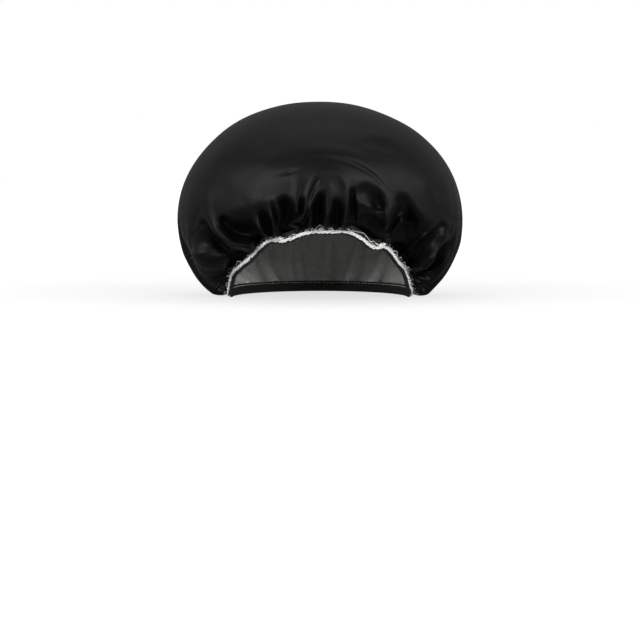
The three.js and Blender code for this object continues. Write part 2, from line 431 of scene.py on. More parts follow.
@dataclass(frozen=True)
class RibbedCloth:
    """Narrow woven or knitted goods with ribs across their length: hem tape and elastic.

    The ribs break the light into fine bars, and the yarn is matt.
    """

    name: str
    colour: str
    rib_colour: str
    roughness: float
    rib_mm: float
    ring_mm: float = 82.0
    rib_share: float = 0.3
    tint_span: tuple[float, float] = (0.35, 0.7)
    bump: float = 0.4
    relief_mm: float = 0.15

    def make(self) -> bpy.types.Material:
        """Make the material; its ribs stand square to the hem's line round the head.

        Returns:
            The material.
        """
        material, shader = new_material(self.name)
        tree = material.node_tree
        place = add_node(tree, "ShaderNodeTexCoord").outputs["Object"]
        parts = add_node(tree, "ShaderNodeSeparateXYZ", {}, {"Vector": place})
        around = add_node(
            tree,
            "ShaderNodeMath",
            {"operation": "ARCTAN2"},
            {0: parts.outputs["X"], 1: parts.outputs["Y"]},
        )
        ribs_round = math.tau * self.ring_mm / self.rib_mm
        wave = add_node(
            tree,
            "ShaderNodeMath",
            {"operation": "MULTIPLY", 1: ribs_round},
            {0: around.outputs["Value"]},
        )
        ribs = add_node(tree, "ShaderNodeMath", {"operation": "SINE"}, {0: wave.outputs["Value"]})
        yarn = add_node(
            tree,
            "ShaderNodeTexNoise",
            {"Scale": 1 / (self.rib_mm * MM), "Detail": 4.0, "Roughness": 0.7},
            {"Vector": place},
        )
        height = add_node(
            tree,
            "ShaderNodeMath",
            {"operation": "MULTIPLY_ADD", 1: self.rib_share},
            {0: ribs.outputs["Value"], 2: yarn.outputs["Fac"]},
        )
        tint = add_node(tree, "ShaderNodeValToRGB", {}, {"Fac": yarn.outputs["Fac"]})
        colours = (self.rib_colour, self.colour)
        for stop, position, colour in zip(tint.color_ramp.elements, self.tint_span, colours):
            stop.position = position
            stop.color = linear(colour)
        bump = add_node(
            tree,
            "ShaderNodeBump",
            {"Strength": self.bump, "Distance": self.relief_mm * MM},
            {"Height": height.outputs["Value"]},
        )
        tree.links.new(tint.outputs["Color"], shader.inputs["Base Color"])
        tree.links.new(bump.outputs["Normal"], shader.inputs["Normal"])
        shader.inputs["Roughness"].default_value = self.roughness
        return material


@dataclass(frozen=True)
class SpunThread:
    """White spun polyester thread, plied and a little hairy.

    Its plies wind round it as fine slanting lines, with painted shade darkening the grooves between them,
    and it scatters light like chalk.
    """

    colour: str = "#f4f4f2"
    painted_groove_shade: str = "#d9d9d8"
    roughness: float = 0.85
    ply_mm: float = 0.8
    tint_span: tuple[float, float] = (0.05, 0.5)
    bump: float = 0.5
    relief_mm: float = 0.15

    def make(self) -> bpy.types.Material:
        """Make the material.

        Returns:
            The material.
        """
        material, shader = new_material("spun_thread")
        tree = material.node_tree
        place = add_node(tree, "ShaderNodeTexCoord").outputs["Object"]
        plies = add_node(
            tree,
            "ShaderNodeTexWave",
            {
                "wave_type": "BANDS",
                "bands_direction": "DIAGONAL",
                "Scale": 1 / (self.ply_mm * MM) / math.tau * 2,
                "Distortion": 2.5,
                "Detail": 2.0,
                "Detail Scale": 2.0,
            },
            {"Vector": place},
        )
        # The grooves between the plies are painted darker, following the bump: painted shade.
        tint = add_node(tree, "ShaderNodeValToRGB", {}, {"Fac": plies.outputs["Fac"]})
        colours = (self.painted_groove_shade, self.colour)
        for stop, position, colour in zip(tint.color_ramp.elements, self.tint_span, colours):
            stop.position = position
            stop.color = linear(colour)
        bump = add_node(
            tree,
            "ShaderNodeBump",
            {"Strength": self.bump, "Distance": self.relief_mm * MM},
            {"Height": plies.outputs["Fac"]},
        )
        tree.links.new(tint.outputs["Color"], shader.inputs["Base Color"])
        tree.links.new(bump.outputs["Normal"], shader.inputs["Normal"])
        shader.inputs["Roughness"].default_value = self.roughness
        return material


# The photograph's view


@dataclass(frozen=True)
class PhotoView:
    """Where the photograph was taken from, and where a point of the cap lands in it."""

    pixels: int = 640
    mm_per_pixel: float = 0.84
    floor_row: float = 297.0
    distance_mm: float = 2200.0
    pitch: float = math.radians(3.75)
    sensor_mm: float = 36.0

    @property
    def target(self) -> Array:
        """The point at the middle of the picture, in the pattern's frame."""
        return np.array([0, 0, (self.floor_row - self.pixels / 2) * self.mm_per_pixel])

    @property
    def ahead(self) -> Array:
        """The direction the camera looks in."""
        return np.array([0, math.cos(self.pitch), -math.sin(self.pitch)])

    @property
    def eye(self) -> Array:
        """The camera's place, in the pattern's frame."""
        return self.target - self.ahead * self.distance_mm

    def project(self, points: Array) -> tuple[Array, Array]:
        """Find the pixels that points land on.

        Args:
            points: Points in the pattern's frame, in millimetres.

        Returns:
            Pixel columns and rows in the picture.
        """
        up = np.array([0, math.sin(self.pitch), math.cos(self.pitch)])
        offset = points - self.eye
        scale = self.distance_mm / (offset @ self.ahead) / self.mm_per_pixel
        middle = self.pixels / 2
        return middle + offset[..., 0] * scale, middle - (offset @ up) * scale

    def seen(self, points: Array) -> tuple[Array, Array]:
        """Find where points show, measured at the cap's distance.

        Args:
            points: Points in the pattern's frame, in millimetres.

        Returns:
            Their places across from the middle and up from the foot, in millimetres.
        """
        column, row = self.project(points)
        across = (column - self.pixels / 2) * self.mm_per_pixel
        return across, (self.floor_row - row) * self.mm_per_pixel

    def place_camera(self, origin: Array) -> bpy.types.Object:
        """Put the camera where the photograph was taken from.

        Args:
            origin: The row frame's place of the pattern's origin, in metres.

        Returns:
            The camera.
        """
        data = bpy.data.cameras.new("camera")
        data.sensor_width = self.sensor_mm
        data.lens = self.sensor_mm * self.distance_mm / (self.pixels * self.mm_per_pixel)
        camera = bpy.data.objects.new("camera", data)
        bpy.context.scene.collection.objects.link(camera)
        camera.location = Vector(origin + self.eye * MM)
        camera.rotation_euler = (math.pi / 2 - self.pitch, 0, 0)
        bpy.context.scene.camera = camera
        return camera


# Shapes


@dataclass(frozen=True)
class HemLine:
    """The line on the head that the tape's inner face stands on.

    It is an oval that lies level round the back and climbs over the forehead, where it waves a little.
    Places in the hem are given as distances out from the head and up from the line.
    """

    half_width: float = 73.2
    half_depth: float = 93.0
    forehead_rise: float = 55.5
    rise_softening: float = 0.07
    wave_height: float = 3.4
    wave_fade: float = 0.2
    fine_steps: int = 7200
    # Angle, share of the wave height, and spread in degrees.
    waves: tuple[tuple[float, float, float], ...] = (
        (-72, 0.7, 6),
        (-50, -1, 10),
        (-32, 0.53, 6),
        (-20, -1, 9),
        (17, 0.56, 8),
        (33, -0.94, 6),
        (46, 0.94, 7),
        (66, 0.38, 6),
        (77, -0.56, 5),
    )

    def points(self, angle: Array) -> Array:
        """Find the line's points.

        Args:
            angle: Angles round the head, in radians.

        Returns:
            The points.
        """
        facing = np.maximum(0, np.cos(angle))
        climb = (1 + self.rise_softening) * facing**2 / (facing + self.rise_softening)
        degrees = np.degrees(angle)
        waves = sum(rise * bell(wrapped(degrees - at), spread) for at, rise, spread in self.waves)
        lift = self.forehead_rise * climb + self.wave_height * waves * ease(facing, 0, self.wave_fade)
        return np.stack([self.half_width * np.sin(angle), -self.half_depth * np.cos(angle), lift], -1)

    def outward(self, angle: Array) -> Array:
        """Find the level directions that point straight away from the head."""
        level = [np.sin(angle) / self.half_width, -np.cos(angle) / self.half_depth, 0 * angle]
        return unit(np.stack(level, -1))

    def place(self, angle: Array, out: Array | float, up: Array | float) -> Array:
        """Find places in the hem.

        Args:
            angle: Angles round the head, in radians.
            out: Distance out from the head.
            up: Distance above the line.

        Returns:
            The points.
        """
        points = self.points(angle) + self.outward(angle) * np.broadcast_to(out, np.shape(angle))[..., None]
        points[..., 2] += up
        return points

    def clear(self, points: Array, out: float, up: float, fade: float) -> Array:
        """Move points out of the tape.

        Args:
            points: Points near the hem.
            out: Least distance out from the head, level with the tape.
            up: Height above the line up to which that holds.
            fade: Height over which it fades above that.

        Returns:
            The points, moved straight out where they lay too near the head.
        """
        angle = np.arctan2(points[..., 0] / self.half_width, -points[..., 1] / self.half_depth)
        away = self.outward(angle)
        apart = points - self.points(angle)
        short = np.maximum(out - (apart * away).sum(-1), 0) * (1 - ease(apart[..., 2], up, up + fade))
        return points + away * short[..., None]

    @property
    def legs(self) -> tuple[Array, Array]:
        """Angles that divide the line finely, and the lengths between them."""
        fine = np.linspace(0, math.tau, self.fine_steps + 1)
        return fine, np.linalg.norm(np.diff(self.points(fine), axis=0), axis=1)

    @property
    def length(self) -> float:
        """The line's length once round."""
        return float(self.legs[1].sum())

    def even_angles(self, count: int) -> Array:
        """Find angles that divide the line into equal lengths.

        Args:
            count: How many lengths.

        Returns:
            The angles, in radians.
        """
        fine, lengths = self.legs
        travelled = np.concatenate([[0], np.cumsum(lengths)])
        return np.interp(np.arange(count) * travelled[-1] / count, travelled, fine)


# A fold's foot is this many times as wide as the part of it that catches the light.
FOLD_FOOT = 1.6


@dataclass(frozen=True)
class Fold:
    """A fold or hollow of the front, along a line as the photograph shows it.

    Attributes:
        path: Points of the line, in mm across and above the foot, as seen from the front.
        widths: Half widths in mm at the line's two ends.
        height: How proud it stands, as a share of the full form; for a hollow, how deep it goes.
        start: The share of its height that it has where it starts.
        end: The share that it has where it ends.
    """

    path: tuple[tuple[float, float], ...]
    widths: tuple[float, float]
    height: float
    start: float
    end: float = 1.0

    def seen_at(self, across: Array, up: Array, steps: int = 7) -> Array:
        """Find the fold's height at points as seen from the front.

        Args:
            across: The points' places across.
            up: The points' places above the foot.
            steps: Short legs that each leg of the line is rounded into.

        Returns:
            Heights from 0 to the fold's own.
        """
        line = self.rounded(steps)
        best = np.full(np.shape(across), np.inf)
        along = np.zeros_like(best)
        legs = len(line) - 1
        for i in range(legs):
            dx, dy = line[i + 1] - line[i]
            px, py = across - line[i, 0], up - line[i, 1]
            t = np.clip((px * dx + py * dy) / (dx * dx + dy * dy), 0, 1)
            gap = np.hypot(px - t * dx, py - t * dy)
            nearer = gap < best
            best = np.where(nearer, gap, best)
            along = np.where(nearer, (i + t) / legs, along)
        width = FOLD_FOOT * mix(self.widths[0], self.widths[1], along)
        share = np.clip(best / width, 0, 1)
        ends = mix(self.start, 1, ease(along, 0, 0.6)) * mix(self.end, 1, ease(1 - along, 0, 0.5))
        return self.height * ends * (1 - share**2) ** 2

    def rounded(self, steps: int) -> Array:
        """Round the line's corners.

        Args:
            steps: Short legs that each leg is divided into.

        Returns:
            The rounded line's points.
        """
        knots = np.array(self.path, float)
        knots = np.concatenate([[2 * knots[0] - knots[1]], knots, [2 * knots[-1] - knots[-2]]])
        t = np.linspace(0, 1, steps, endpoint=False)[:, None]
        runs = []
        for a, b, c, d in zip(knots, knots[1:], knots[2:], knots[3:]):
            bend = (2 * a - 5 * b + 4 * c - d) * t**2
            twist = (3 * b - a - 3 * c + d) * t**3
            runs.append(0.5 * (2 * b + (c - a) * t + bend + twist))
        return np.concatenate([*runs, knots[-2:-1]])


FRONT_RIDGES = (
    # The tall arc down the left side.
    Fold(
        (
            (-96.0, 87.5), (-94.4, 75.5), (-92.4, 65.9), (-88.2, 58.1), (-81.0, 51.5),
            (-73.8, 45.7), (-66.6, 43.7), (-59.4, 41.9),
        ),
        (4.2, 5.8), 1.15, 0.3,
    ),
    # The round lobe low on the left, and its foot.
    Fold(((-108.0, 52.0), (-102.5, 37.0), (-95.0, 25.0)), (8.0, 13.5), 1.25, 0.3),
    Fold(((-103.8, 20.3), (-94.2, 11.9), (-85.8, 11.9)), (6.0, 5.0), 1.1, 0.8),
    # Three tapering folds left of the middle.
    Fold(((-56.4, 74.3), (-52.8, 63.5), (-49.2, 56.3), (-44.8, 49.0)), (4.6, 1.7), 1.05, 0.4),
    Fold(((-43.2, 81.5), (-42.0, 71.9), (-39.6, 63.5), (-39.0, 52.0)), (2.4, 1.5), 1.05, 0.4),
    Fold(
        (
            (-38.6, 82.7), (-36.0, 73.1), (-34.2, 65.9), (-36.0, 57.5), (-34.2, 52.0),
        ),
        (1.1, 1.1), 1.05, 0.6,
    ),
    # The broad fold beside the twisted one.
    Fold(((-19.8, 110.9), (-19.3, 94.9), (-20.3, 83.7), (-19.3, 71.0)), (5.0, 2.0), 1.05, 0.3),
    # The twisted fold: its two edges, the first ending in a hook.
    Fold(
        (
            (-1.3, 104.0), (-6.2, 97.3), (-9.9, 87.5), (-11.9, 76.3), (-13.6, 68.9),
            (-19.8, 64.0), (-25.2, 60.8), (-19.8, 58.8),
        ),
        (2.2, 2.0), 1.05, 0.9,
    ),
    Fold(
        (
            (7.4, 93.6), (1.2, 89.9), (-5.0, 83.0), (-8.2, 75.1), (-7.9, 66.5), (-9.9, 57.0),
        ),
        (2.2, 2.0), 1.05, 0.8,
    ),
    # The pouch over the middle and the wedge that hangs in it.
    Fold(
        (
            (-1.3, 104.0), (7.4, 106.5), (16.0, 103.5), (21.5, 94.9), (23.2, 82.5), (22.2, 70.2),
            (19.7, 57.5),
        ),
        (2.4, 3.0), 1.05, 0.8,
    ),
    Fold(((7.9, 88.7), (7.4, 75.1), (5.7, 65.2), (4.9, 57.0)), (5.5, 1.7), 1.05, 0.7),
    # The faint crest in the dim pocket right of the middle.
    Fold(((32.4, 64.7), (34.2, 71.9), (39.6, 75.5), (46.8, 77.3)), (1.4, 2.2), 0.5, 0.8),
    # The wedge right of the pocket.
    Fold(((55.2, 93.5), (59.4, 77.9), (57.6, 67.1), (56.6, 58.7)), (6.5, 2.4), 1.05, 0.5),
    # The thin crest in the right valley.
    Fold(((60.0, 46.7), (61.2, 52.7), (64.8, 58.7), (70.8, 62.3), (79.2, 61.1)), (1.2, 1.6), 0.45, 0.8),
    # The slope right of the valley and the pinched edge under it.
    Fold(((75.6, 85.1), (86.4, 71.9), (93.6, 62.9)), (7.0, 5.0), 1.05, 0.5),
    Fold(((93.6, 55.1), (86.4, 49.1), (79.2, 41.9), (73.2, 34.7)), (1.3, 1.1), 0.85, 0.8),
    # The roll low on the right and the lobe outside it.
    Fold(((105.6, 49.1), (99.6, 40.7), (93.6, 32.3), (87.6, 24.5), (81.6, 22.7)), (4.4, 3.6), 1.2, 0.5),
    Fold(((117.0, 58.7), (114.6, 41.9), (106.8, 27.5), (98.4, 16.7), (87.6, 9.7)), (4.8, 4.0), 1.2, 0.6),
)

FRONT_HOLLOWS = (
    # Under the arc, and between the lobe and the hem.
    Fold(
        (
            (-96.0, 61.1), (-91.2, 51.5), (-85.8, 44.3), (-79.8, 39.5), (-70.2, 37.7),
        ),
        (4.5, 4.5), 1.0, 0.35,
    ),
    Fold(((-69.0, 37.1), (-76.2, 32.3), (-77.2, 21.5), (-81.6, 15.5)), (4.0, 3.0), 1.0, 1.0),
    # Inside the arc.
    Fold(
        (
            (-80.4, 63.5), (-73.8, 57.5), (-64.2, 54.5), (-54.6, 54.5), (-49.8, 50.9),
        ),
        (3.6, 5.6), 1.0, 0.5,
    ),
    Fold(((-57.0, 46.7), (-59.4, 39.5)), (3.6, 3.0), 1.0, 1.0),
    # Between the tapering folds.
    Fold(((-48.4, 69.5), (-45.0, 61.1), (-43.2, 52.7)), (2.6, 2.0), 1.0, 0.7),
    Fold(((-39.8, 77.9), (-37.1, 65.9), (-37.2, 55.1)), (0.9, 0.9), 1.0, 0.8),
    Fold(((-30.0, 79.1), (-27.0, 71.9), (-29.4, 61.1), (-29.4, 55.1)), (3.8, 3.8), 1.0, 0.7),
    # Beside and inside the twisted fold.
    Fold(((-15.6, 81.3), (-15.8, 70.2)), (1.8, 1.5), 0.9, 0.6),
    Fold(((-2.5, 98.6), (-5.7, 91.2), (-8.9, 81.3), (-10.4, 70.2), (-11.9, 62.8)), (1.2, 0.9), 1.0, 0.9),
    Fold(((0.5, 83.7), (-1.8, 75.1), (-2.0, 62.8)), (3.6, 4.2), 1.0, 0.6),
    # Between the wedge and the pouch.
    Fold(((13.8, 78.8), (14.3, 70.2), (13.6, 61.5)), (2.6, 3.4), 1.0, 0.6),
    # The dim pocket.
    Fold(((27.6, 88.7), (27.6, 75.1), (29.1, 61.5)), (2.0, 3.6), 1.0, 0.5),
    Fold(((38.4, 87.5), (46.8, 82.1), (49.8, 76.7)), (7.0, 5.0), 0.4, 0.5),
    Fold(((38.4, 65.9), (45.0, 62.3), (52.2, 53.9)), (5.0, 5.5), 1.0, 0.7),
    # The deep valley on the right.
    Fold(((70.2, 80.3), (74.4, 71.9), (77.5, 63.0), (77.0, 53.0), (74.0, 43.0)), (5.0, 8.0), 1.0, 0.4),
    Fold(((67.2, 70.7), (61.8, 61.1), (60.0, 52.7)), (4.0, 3.0), 1.0, 0.8),
    Fold(((69.6, 53.9), (67.2, 45.5), (72.0, 37.1)), (6.0, 5.0), 1.0, 0.8),
    # Beside the roll, inside and out.
    Fold(((102.0, 59.9), (96.0, 51.5), (88.8, 41.9), (82.8, 33.5), (79.2, 27.5)), (3.4, 3.0), 1.0, 0.4),
    Fold(
        (
            (109.8, 41.3), (102.0, 34.1), (96.0, 26.3), (90.0, 19.3), (82.8, 15.2), (78.0, 19.1),
        ),
        (2.4, 1.9), 1.0, 0.5,
    ),
)

# Low creases of the dome: heights in mm instead of shares.
FRONT_CREASES = (
    # The curved line that runs over the pouch, a low step.
    Fold(
        (
            (-27.2, 112.6), (-2.5, 117.1), (22.2, 113.9), (42.0, 104.7), (56.8, 89.9),
            (65.4, 77.6),
        ),
        (1.7, 1.7), -1.3, 0.1, 0.0,
    ),
    Fold(
        (
            (-27.2, 118.1), (-2.5, 122.5), (24.7, 119.1), (48.1, 108.4), (64.2, 91.2),
        ),
        (5.5, 5.5), 1.5, 0.1, 0.0,
    ),
    Fold(((-39.5, 102.0), (-27.2, 104.7), (-14.8, 107.7)), (1.5, 1.5), -1.0, 0.1, 0.0),
    # The dimple high on the right and the swell over it.
    Fold(((32.1, 128.9), (44.4, 130.2), (56.8, 125.2), (66.2, 117.6)), (4.0, 3.5), -1.5, 0.1, 0.0),
    Fold(((29.6, 134.9), (46.9, 136.4), (63.0, 129.4), (75.3, 116.6)), (5.0, 5.0), 0.9, 0.1, 0.0),
    # A soft band across the crown.
    Fold(((-17.3, 138.8), (-5.0, 150.4), (7.4, 162.0)), (2.6, 2.6), 0.5, 0.1, 0.0),
    # The swells and dents of the left half.
    Fold(((-64.2, 99.8), (-47.0, 110.9), (-27.2, 121.5)), (9.0, 7.0), 1.1, 0.1, 0.0),
    Fold(((-81.5, 107.2), (-84.0, 92.4), (-76.6, 77.6)), (8.0, 9.0), -1.1, 0.1, 0.0),
    Fold(((-66.7, 118.3), (-47.0, 127.0), (-29.7, 136.9)), (9.0, 9.0), -0.9, 0.1, 0.0),
    Fold(((-75.4, 124.5), (-86.5, 114.6), (-92.7, 99.8)), (7.0, 7.0), 0.9, 0.1, 0.0),
    Fold(((-59.3, 92.4), (-55.6, 82.5), (-47.0, 78.8)), (6.0, 5.0), 0.8, 0.1, 0.0),
    # The slack patch on the right.
    Fold(((93.8, 99.8), (100.0, 88.7), (108.7, 78.8)), (5.0, 5.0), -1.1, 0.1, 0.0),
    Fold(((79.0, 112.2), (88.9, 97.3), (93.8, 80.0)), (8.0, 7.0), 0.8, 0.1, 0.0),
    Fold(((102.5, 75.1), (108.7, 65.2), (114.8, 68.9)), (3.0, 3.0), -0.8, 0.1, 0.0),
    # Nicks at the outline.
    Fold(((-115.6, 44.5), (-106.2, 52.4), (-98.8, 60.3)), (1.1, 1.4), -0.8, 0.1, 0.0),
    Fold(((-108.2, 45.5), (-105.0, 62.8), (-98.8, 77.6)), (2.2, 2.6), -0.8, 0.1, 0.0),
)


@dataclass(frozen=True)
class CapForm:
    """The cloth's form: a dome down to its widest line, which curls under to the hem.

    A place on it is an angle round the head and a distance along the cloth: 0 at the crown, 1 at the
    widest line and 2 at the hem.
    """

    hem: HemLine
    view: PhotoView
    half_width: float = 119.3
    front_reach: float = 121.0
    back_reach: float = 136.0
    crown_height: float = 164.0
    # Sizes at the front, side and back.
    bulge_heights: tuple[float, float, float] = (98.0, 65.0, 62.0)
    bulge_drops: tuple[float, float, float] = (35.0, 33.0, 28.0)
    lip_reaches: tuple[float, float, float] = (22.0, 24.0, 22.0)
    lip_drops: tuple[float, float, float] = (3.2, 11.0, 9.0)
    edge_out: float = 3.9
    edge_up: float = 4.7
    tape_top: float = 9.5
    tape_fade: float = 3.0
    # From front to back, where the drawn folds give way to the gathers.
    front_ends: tuple[float, float] = (-50.0, 5.0)
    # Where the folds begin, are full and end, as rows past the widest line: elsewhere and at the front.
    fold_starts: tuple[float, float] = (-0.1, -0.3)
    fold_fulls: tuple[float, float] = (0.5, 0.2)
    fold_fades: tuple[float, float] = (0.7, 0.84)
    # How hollows sink: in and up at the back, straight back at the front, inward at the temples.
    hollow_depth: float = 19.0
    hollow_rise: float = 0.9
    hollow_turn: tuple[float, float] = (0.1, 0.7)
    front_depth: float = 23.0
    back_rise: float = 0.12
    back_rise_rows: tuple[float, float] = (0.4, 0.8)
    temples: tuple[float, float] = (60.0, 110.0)
    temple_inward: float = 0.5
    temple_outward: float = 0.7
    # How full the front is along the rim.
    rim_margin: float = 5.0
    rim_sides: tuple[float, float] = (60.0, 80.0)
    crest_reach: float = 28.0
    steepest: float = 6.0
    hem_hollow: float = 0.8
    hem_hollow_rows: tuple[float, float] = (0.1, 0.5)
    full_hollow_width: float = 5.5
    lowest: float = 0.35
    pleat_count: int = 30
    pleat_height: float = 1.15
    pleat_middle: float = 0.86
    pleat_heights: Waves = ((6, 0.2, 0.9), (13, 0.12, 2.0))
    pleat_drifts: Waves = ((3, 0.9, 0.6), (5, 0.7, 2.1), (11, 0.35, 0.0))
    pleat_leans: Waves = ((4, 0.5, 1.2), (7, 0.35, 0.3))
    pucker_count: int = 168
    pucker_height: float = 1.0
    pucker_drifts: Waves = ((7, 1.1, 0.0), (23, 0.7, 1.0))
    pucker_heights: Waves = ((19, 0.4, 2.0),)
    pucker_rows: tuple[float, float] = (0.62, 0.93)
    swell_height: float = 1.1
    swell_lengths: tuple[float, float, float] = (31.0, 38.0, 44.0)
    swell_phases: tuple[float, float, float] = (0.7, 1.1, 0.4)
    radial_height: float = 0.55
    dent_height: float = 0.7

    def around_head(self, sizes: tuple[float, float, float], angle: Array) -> Array:
        """Blend a size round the head.

        Args:
            sizes: The size at the front, side and back.
            angle: Angles round the head, in radians.

        Returns:
            The size at those angles.
        """
        front, side, back = sizes
        facing = np.cos(angle)
        return mix(side, np.where(facing > 0, front, back), facing**2)

    def smooth(self, angle: Array, along: Array) -> Array:
        """Find points of the form without its folds.

        Args:
            angle: Angles round the head, in radians.
            along: Distances along the cloth, from 0 at the crown to 2 at the hem.

        Returns:
            The points.
        """
        reach = np.where(np.cos(angle) > 0, self.front_reach, self.back_reach)
        bulge = self.around_head(self.bulge_heights, angle)
        widest = np.stack([self.half_width * np.sin(angle), -reach * np.cos(angle), bulge], -1)
        turn = np.clip(along, 0, 1)[..., None] * math.pi / 2
        dome = widest * np.sin(turn)
        dome[..., 2] = mix(widest[..., 2], self.crown_height, np.cos(turn[..., 0]))
        edge = self.hem.place(angle, self.edge_out, self.edge_up)
        below = widest.copy()
        below[..., 2] -= self.around_head(self.bulge_drops, angle)
        lip = edge + self.hem.outward(angle) * self.around_head(self.lip_reaches, angle)[..., None]
        lip[..., 2] -= self.around_head(self.lip_drops, angle)
        t = np.clip(along - 1, 0, 1)[..., None]
        s = 1 - t
        curl = s**3 * widest + 3 * s**2 * t * below + 3 * s * t**2 * lip + t**3 * edge
        return np.where(along[..., None] <= 1, dome, curl)

    def outward(self, angle: Array, along: Array) -> Array:
        """Find the smooth form's straight-out directions.

        Args:
            angle: Angles round the head, in radians.
            along: Distances along the cloth.

        Returns:
            The directions, of length 1.
        """
        step = 1e-3
        at = np.maximum(along, step)
        sideways = self.smooth(angle + step, at) - self.smooth(angle - step, at)
        down = self.smooth(angle, np.minimum(at + step, 2)) - self.smooth(angle, at - step)
        return unit(np.cross(down, sideways))

    def front_share(self, points: Array) -> Array:
        """Tell how far the cloth is shaped by the folds that the photograph shows, from 0 to 1."""
        return 1 - ease(points[..., 1], *self.front_ends)

    def front_fullness(self, points: Array, along: Array) -> Array:
        """Find how full the front is.

        Args:
            points: Points of the smooth form.
            along: Their distances along the cloth.

        Returns:
            From 0 in a hollow to a little over 1 on a fold.
        """
        across, up = self.view.seen(points)
        margin = self.rim_margin * (1 - ease(np.abs(across), *self.rim_sides))
        up = np.maximum(up, self.rim_up(points) + margin)
        hollow = self.hem_hollow * ease(along - 1, *self.hem_hollow_rows)
        full = 1 - hollow
        for fold in FRONT_HOLLOWS:
            narrow = min(1, sum(fold.widths) / 2 / self.full_hollow_width)
            full = full * (1 - narrow * fold.seen_at(across, up))
        for fold in sorted(FRONT_RIDGES, key=lambda fold: -sum(fold.widths)):
            stands = full + self.steepest * sum(fold.widths) / 2 / self.front_depth
            share = fold.seen_at(across, up)
            crest = np.minimum(stands, fold.height)
            full = np.maximum(full, mix(full, crest, share / fold.height))
        return full

    def rim_up(self, points: Array) -> Array:
        """Find how high the hem shows in the photograph under points of the front.

        Args:
            points: The points.

        Returns:
            Heights above the foot, as seen.
        """
        angles = np.radians(np.linspace(-90, 90, 181))
        rim = self.hem.place(angles, self.edge_out, self.edge_up)
        columns, _ = self.view.project(rim)
        column, _ = self.view.project(points)
        _, up = self.view.seen(rim)
        return np.interp(column, columns, up)

    def back_fullness(self, angle: Array, along: Array) -> Array:
        """Find how full the sides and back are, where broad pleats lean and merge as they climb.

        Args:
            angle: Angles round the head, in radians.
            along: Distances along the cloth.

        Returns:
            From 0 in a hollow to a little over 1 on a pleat.
        """
        lean = (2 - along) * wavy(angle, self.pleat_leans)
        phase = self.pleat_count / 2 * angle + wavy(angle, self.pleat_drifts) + lean
        weight = wavy(angle, self.pleat_heights, self.pleat_middle)
        return self.pleat_height * weight * np.abs(np.cos(phase))

    def fullness(self, angle: Array, along: Array) -> Array:
        """Find how full the cloth is all round.

        Args:
            angle: Angles round the head, in radians.
            along: Distances along the cloth.

        Returns:
            From 0 in a hollow to a little over 1 on a fold.
        """
        base = self.smooth(angle, along)
        back = self.back_fullness(angle, along)
        return mix(back, self.front_fullness(base, along), self.front_share(base))

    def folded(self, angle: Array, along: Array, fullness: Array) -> Array:
        """Find points of the cloth with its broad folds.

        Args:
            angle: Angles round the head, in radians.
            along: Distances along the cloth, from 0 at the crown to 2 at the hem.
            fullness: How full the cloth is there.

        Returns:
            The points.
        """
        base = self.smooth(angle, along)
        out = self.outward(angle, along)
        front = self.front_share(base)
        t = along - 1
        rise = ease(t, mix(*self.fold_starts, front), mix(*self.fold_fulls, front))
        strength = rise * (1 - ease(t, mix(*self.fold_fades, front), 1))
        temple = ease(np.abs(base[..., 0]), *self.temples)
        inward = -self.hem.outward(angle)
        inward[..., 2] += self.hollow_rise
        sink = mix(-out, unit(inward), ease(t, *self.hollow_turn)[..., None])
        back = np.stack([0 * t, 1 + 0 * t, self.back_rise * ease(t, *self.back_rise_rows)], -1)
        back = mix(back, -self.hem.outward(angle), self.temple_inward * temple[..., None])
        sink = unit(mix(sink, back, front[..., None]))
        ahead = front - self.temple_outward * front * temple
        forward = mix(self.hem.outward(angle), np.array([0.0, -1.0, 0.0]), ahead[..., None])
        depth = mix(self.hollow_depth, self.front_depth, front)
        moved = base + sink * (depth * strength * np.maximum(1 - fullness, 0))[..., None]
        moved += forward * (self.crest_reach * strength * np.maximum(fullness - 1, 0))[..., None]
        moved += out * (self.swell_height * self.swell(base) * (1 - ease(t, 0.5, 1)))[..., None]
        moved[..., 2] = np.maximum(moved[..., 2], self.lowest)
        return moved

    def swell(self, points: Array) -> Array:
        """Find the slow rise and fall of the slack cloth.

        Args:
            points: Points of the smooth form.

        Returns:
            From -1 to 1.
        """
        found = 1.0
        for axis, (length, phase) in enumerate(zip(self.swell_lengths, self.swell_phases)):
            found = found * np.sin(points[..., axis] / length + phase)
        return found

    def creases(self, angle: Array, along: Array) -> Array:
        """Find how far the soft creases stand out: those drawn on the dome, and the slack elsewhere.

        Args:
            angle: Angles round the head, in radians.
            along: Distances along the cloth.

        Returns:
            Heights, in millimetres.
        """
        base = self.smooth(angle, along)
        front = self.front_share(base)
        across, up = self.view.seen(base)
        drawn = sum(crease.seen_at(across, up) for crease in FRONT_CREASES)
        slack = self.radial_height * self.radial_creases(angle, along) + self.dent_height * self.dents(base)
        return drawn * front + slack * (1 - 0.85 * front) * (1 - ease(along, 1.5, 1.8))

    def radial_creases(self, angle: Array, along: Array) -> Array:
        """Find the slack creases that run down from the crown.

        Args:
            angle: Angles round the head, in radians.
            along: Distances along the cloth.

        Returns:
            Heights, as shares of the tallest.
        """
        twist = 0.5 * np.sin(2.3 * along + 2 * angle)
        broad = np.sin(9 * angle + twist) + 0.7 * np.sin(14 * angle - 1.6 * twist + 1)
        radial = broad + 0.5 * np.sin(23 * angle + 2)
        return radial * (ease(along, 0.25, 1.1) * (1 - ease(along, 1.2, 1.6)))

    def dents(self, points: Array) -> Array:
        """Find the soft dents of the slack cloth, each 15 to 23 mm from its neighbours.

        Args:
            points: Points of the smooth form.

        Returns:
            From -1 to 1.
        """
        x, y, z = points[..., 0], points[..., 1], points[..., 2]
        dents = np.sin(x / 15 + 0.4 * np.sin(y / 21)) * np.sin(y / 17 + 0.5 * np.sin(x / 19) + 1)
        return dents * np.cos(z / 23)

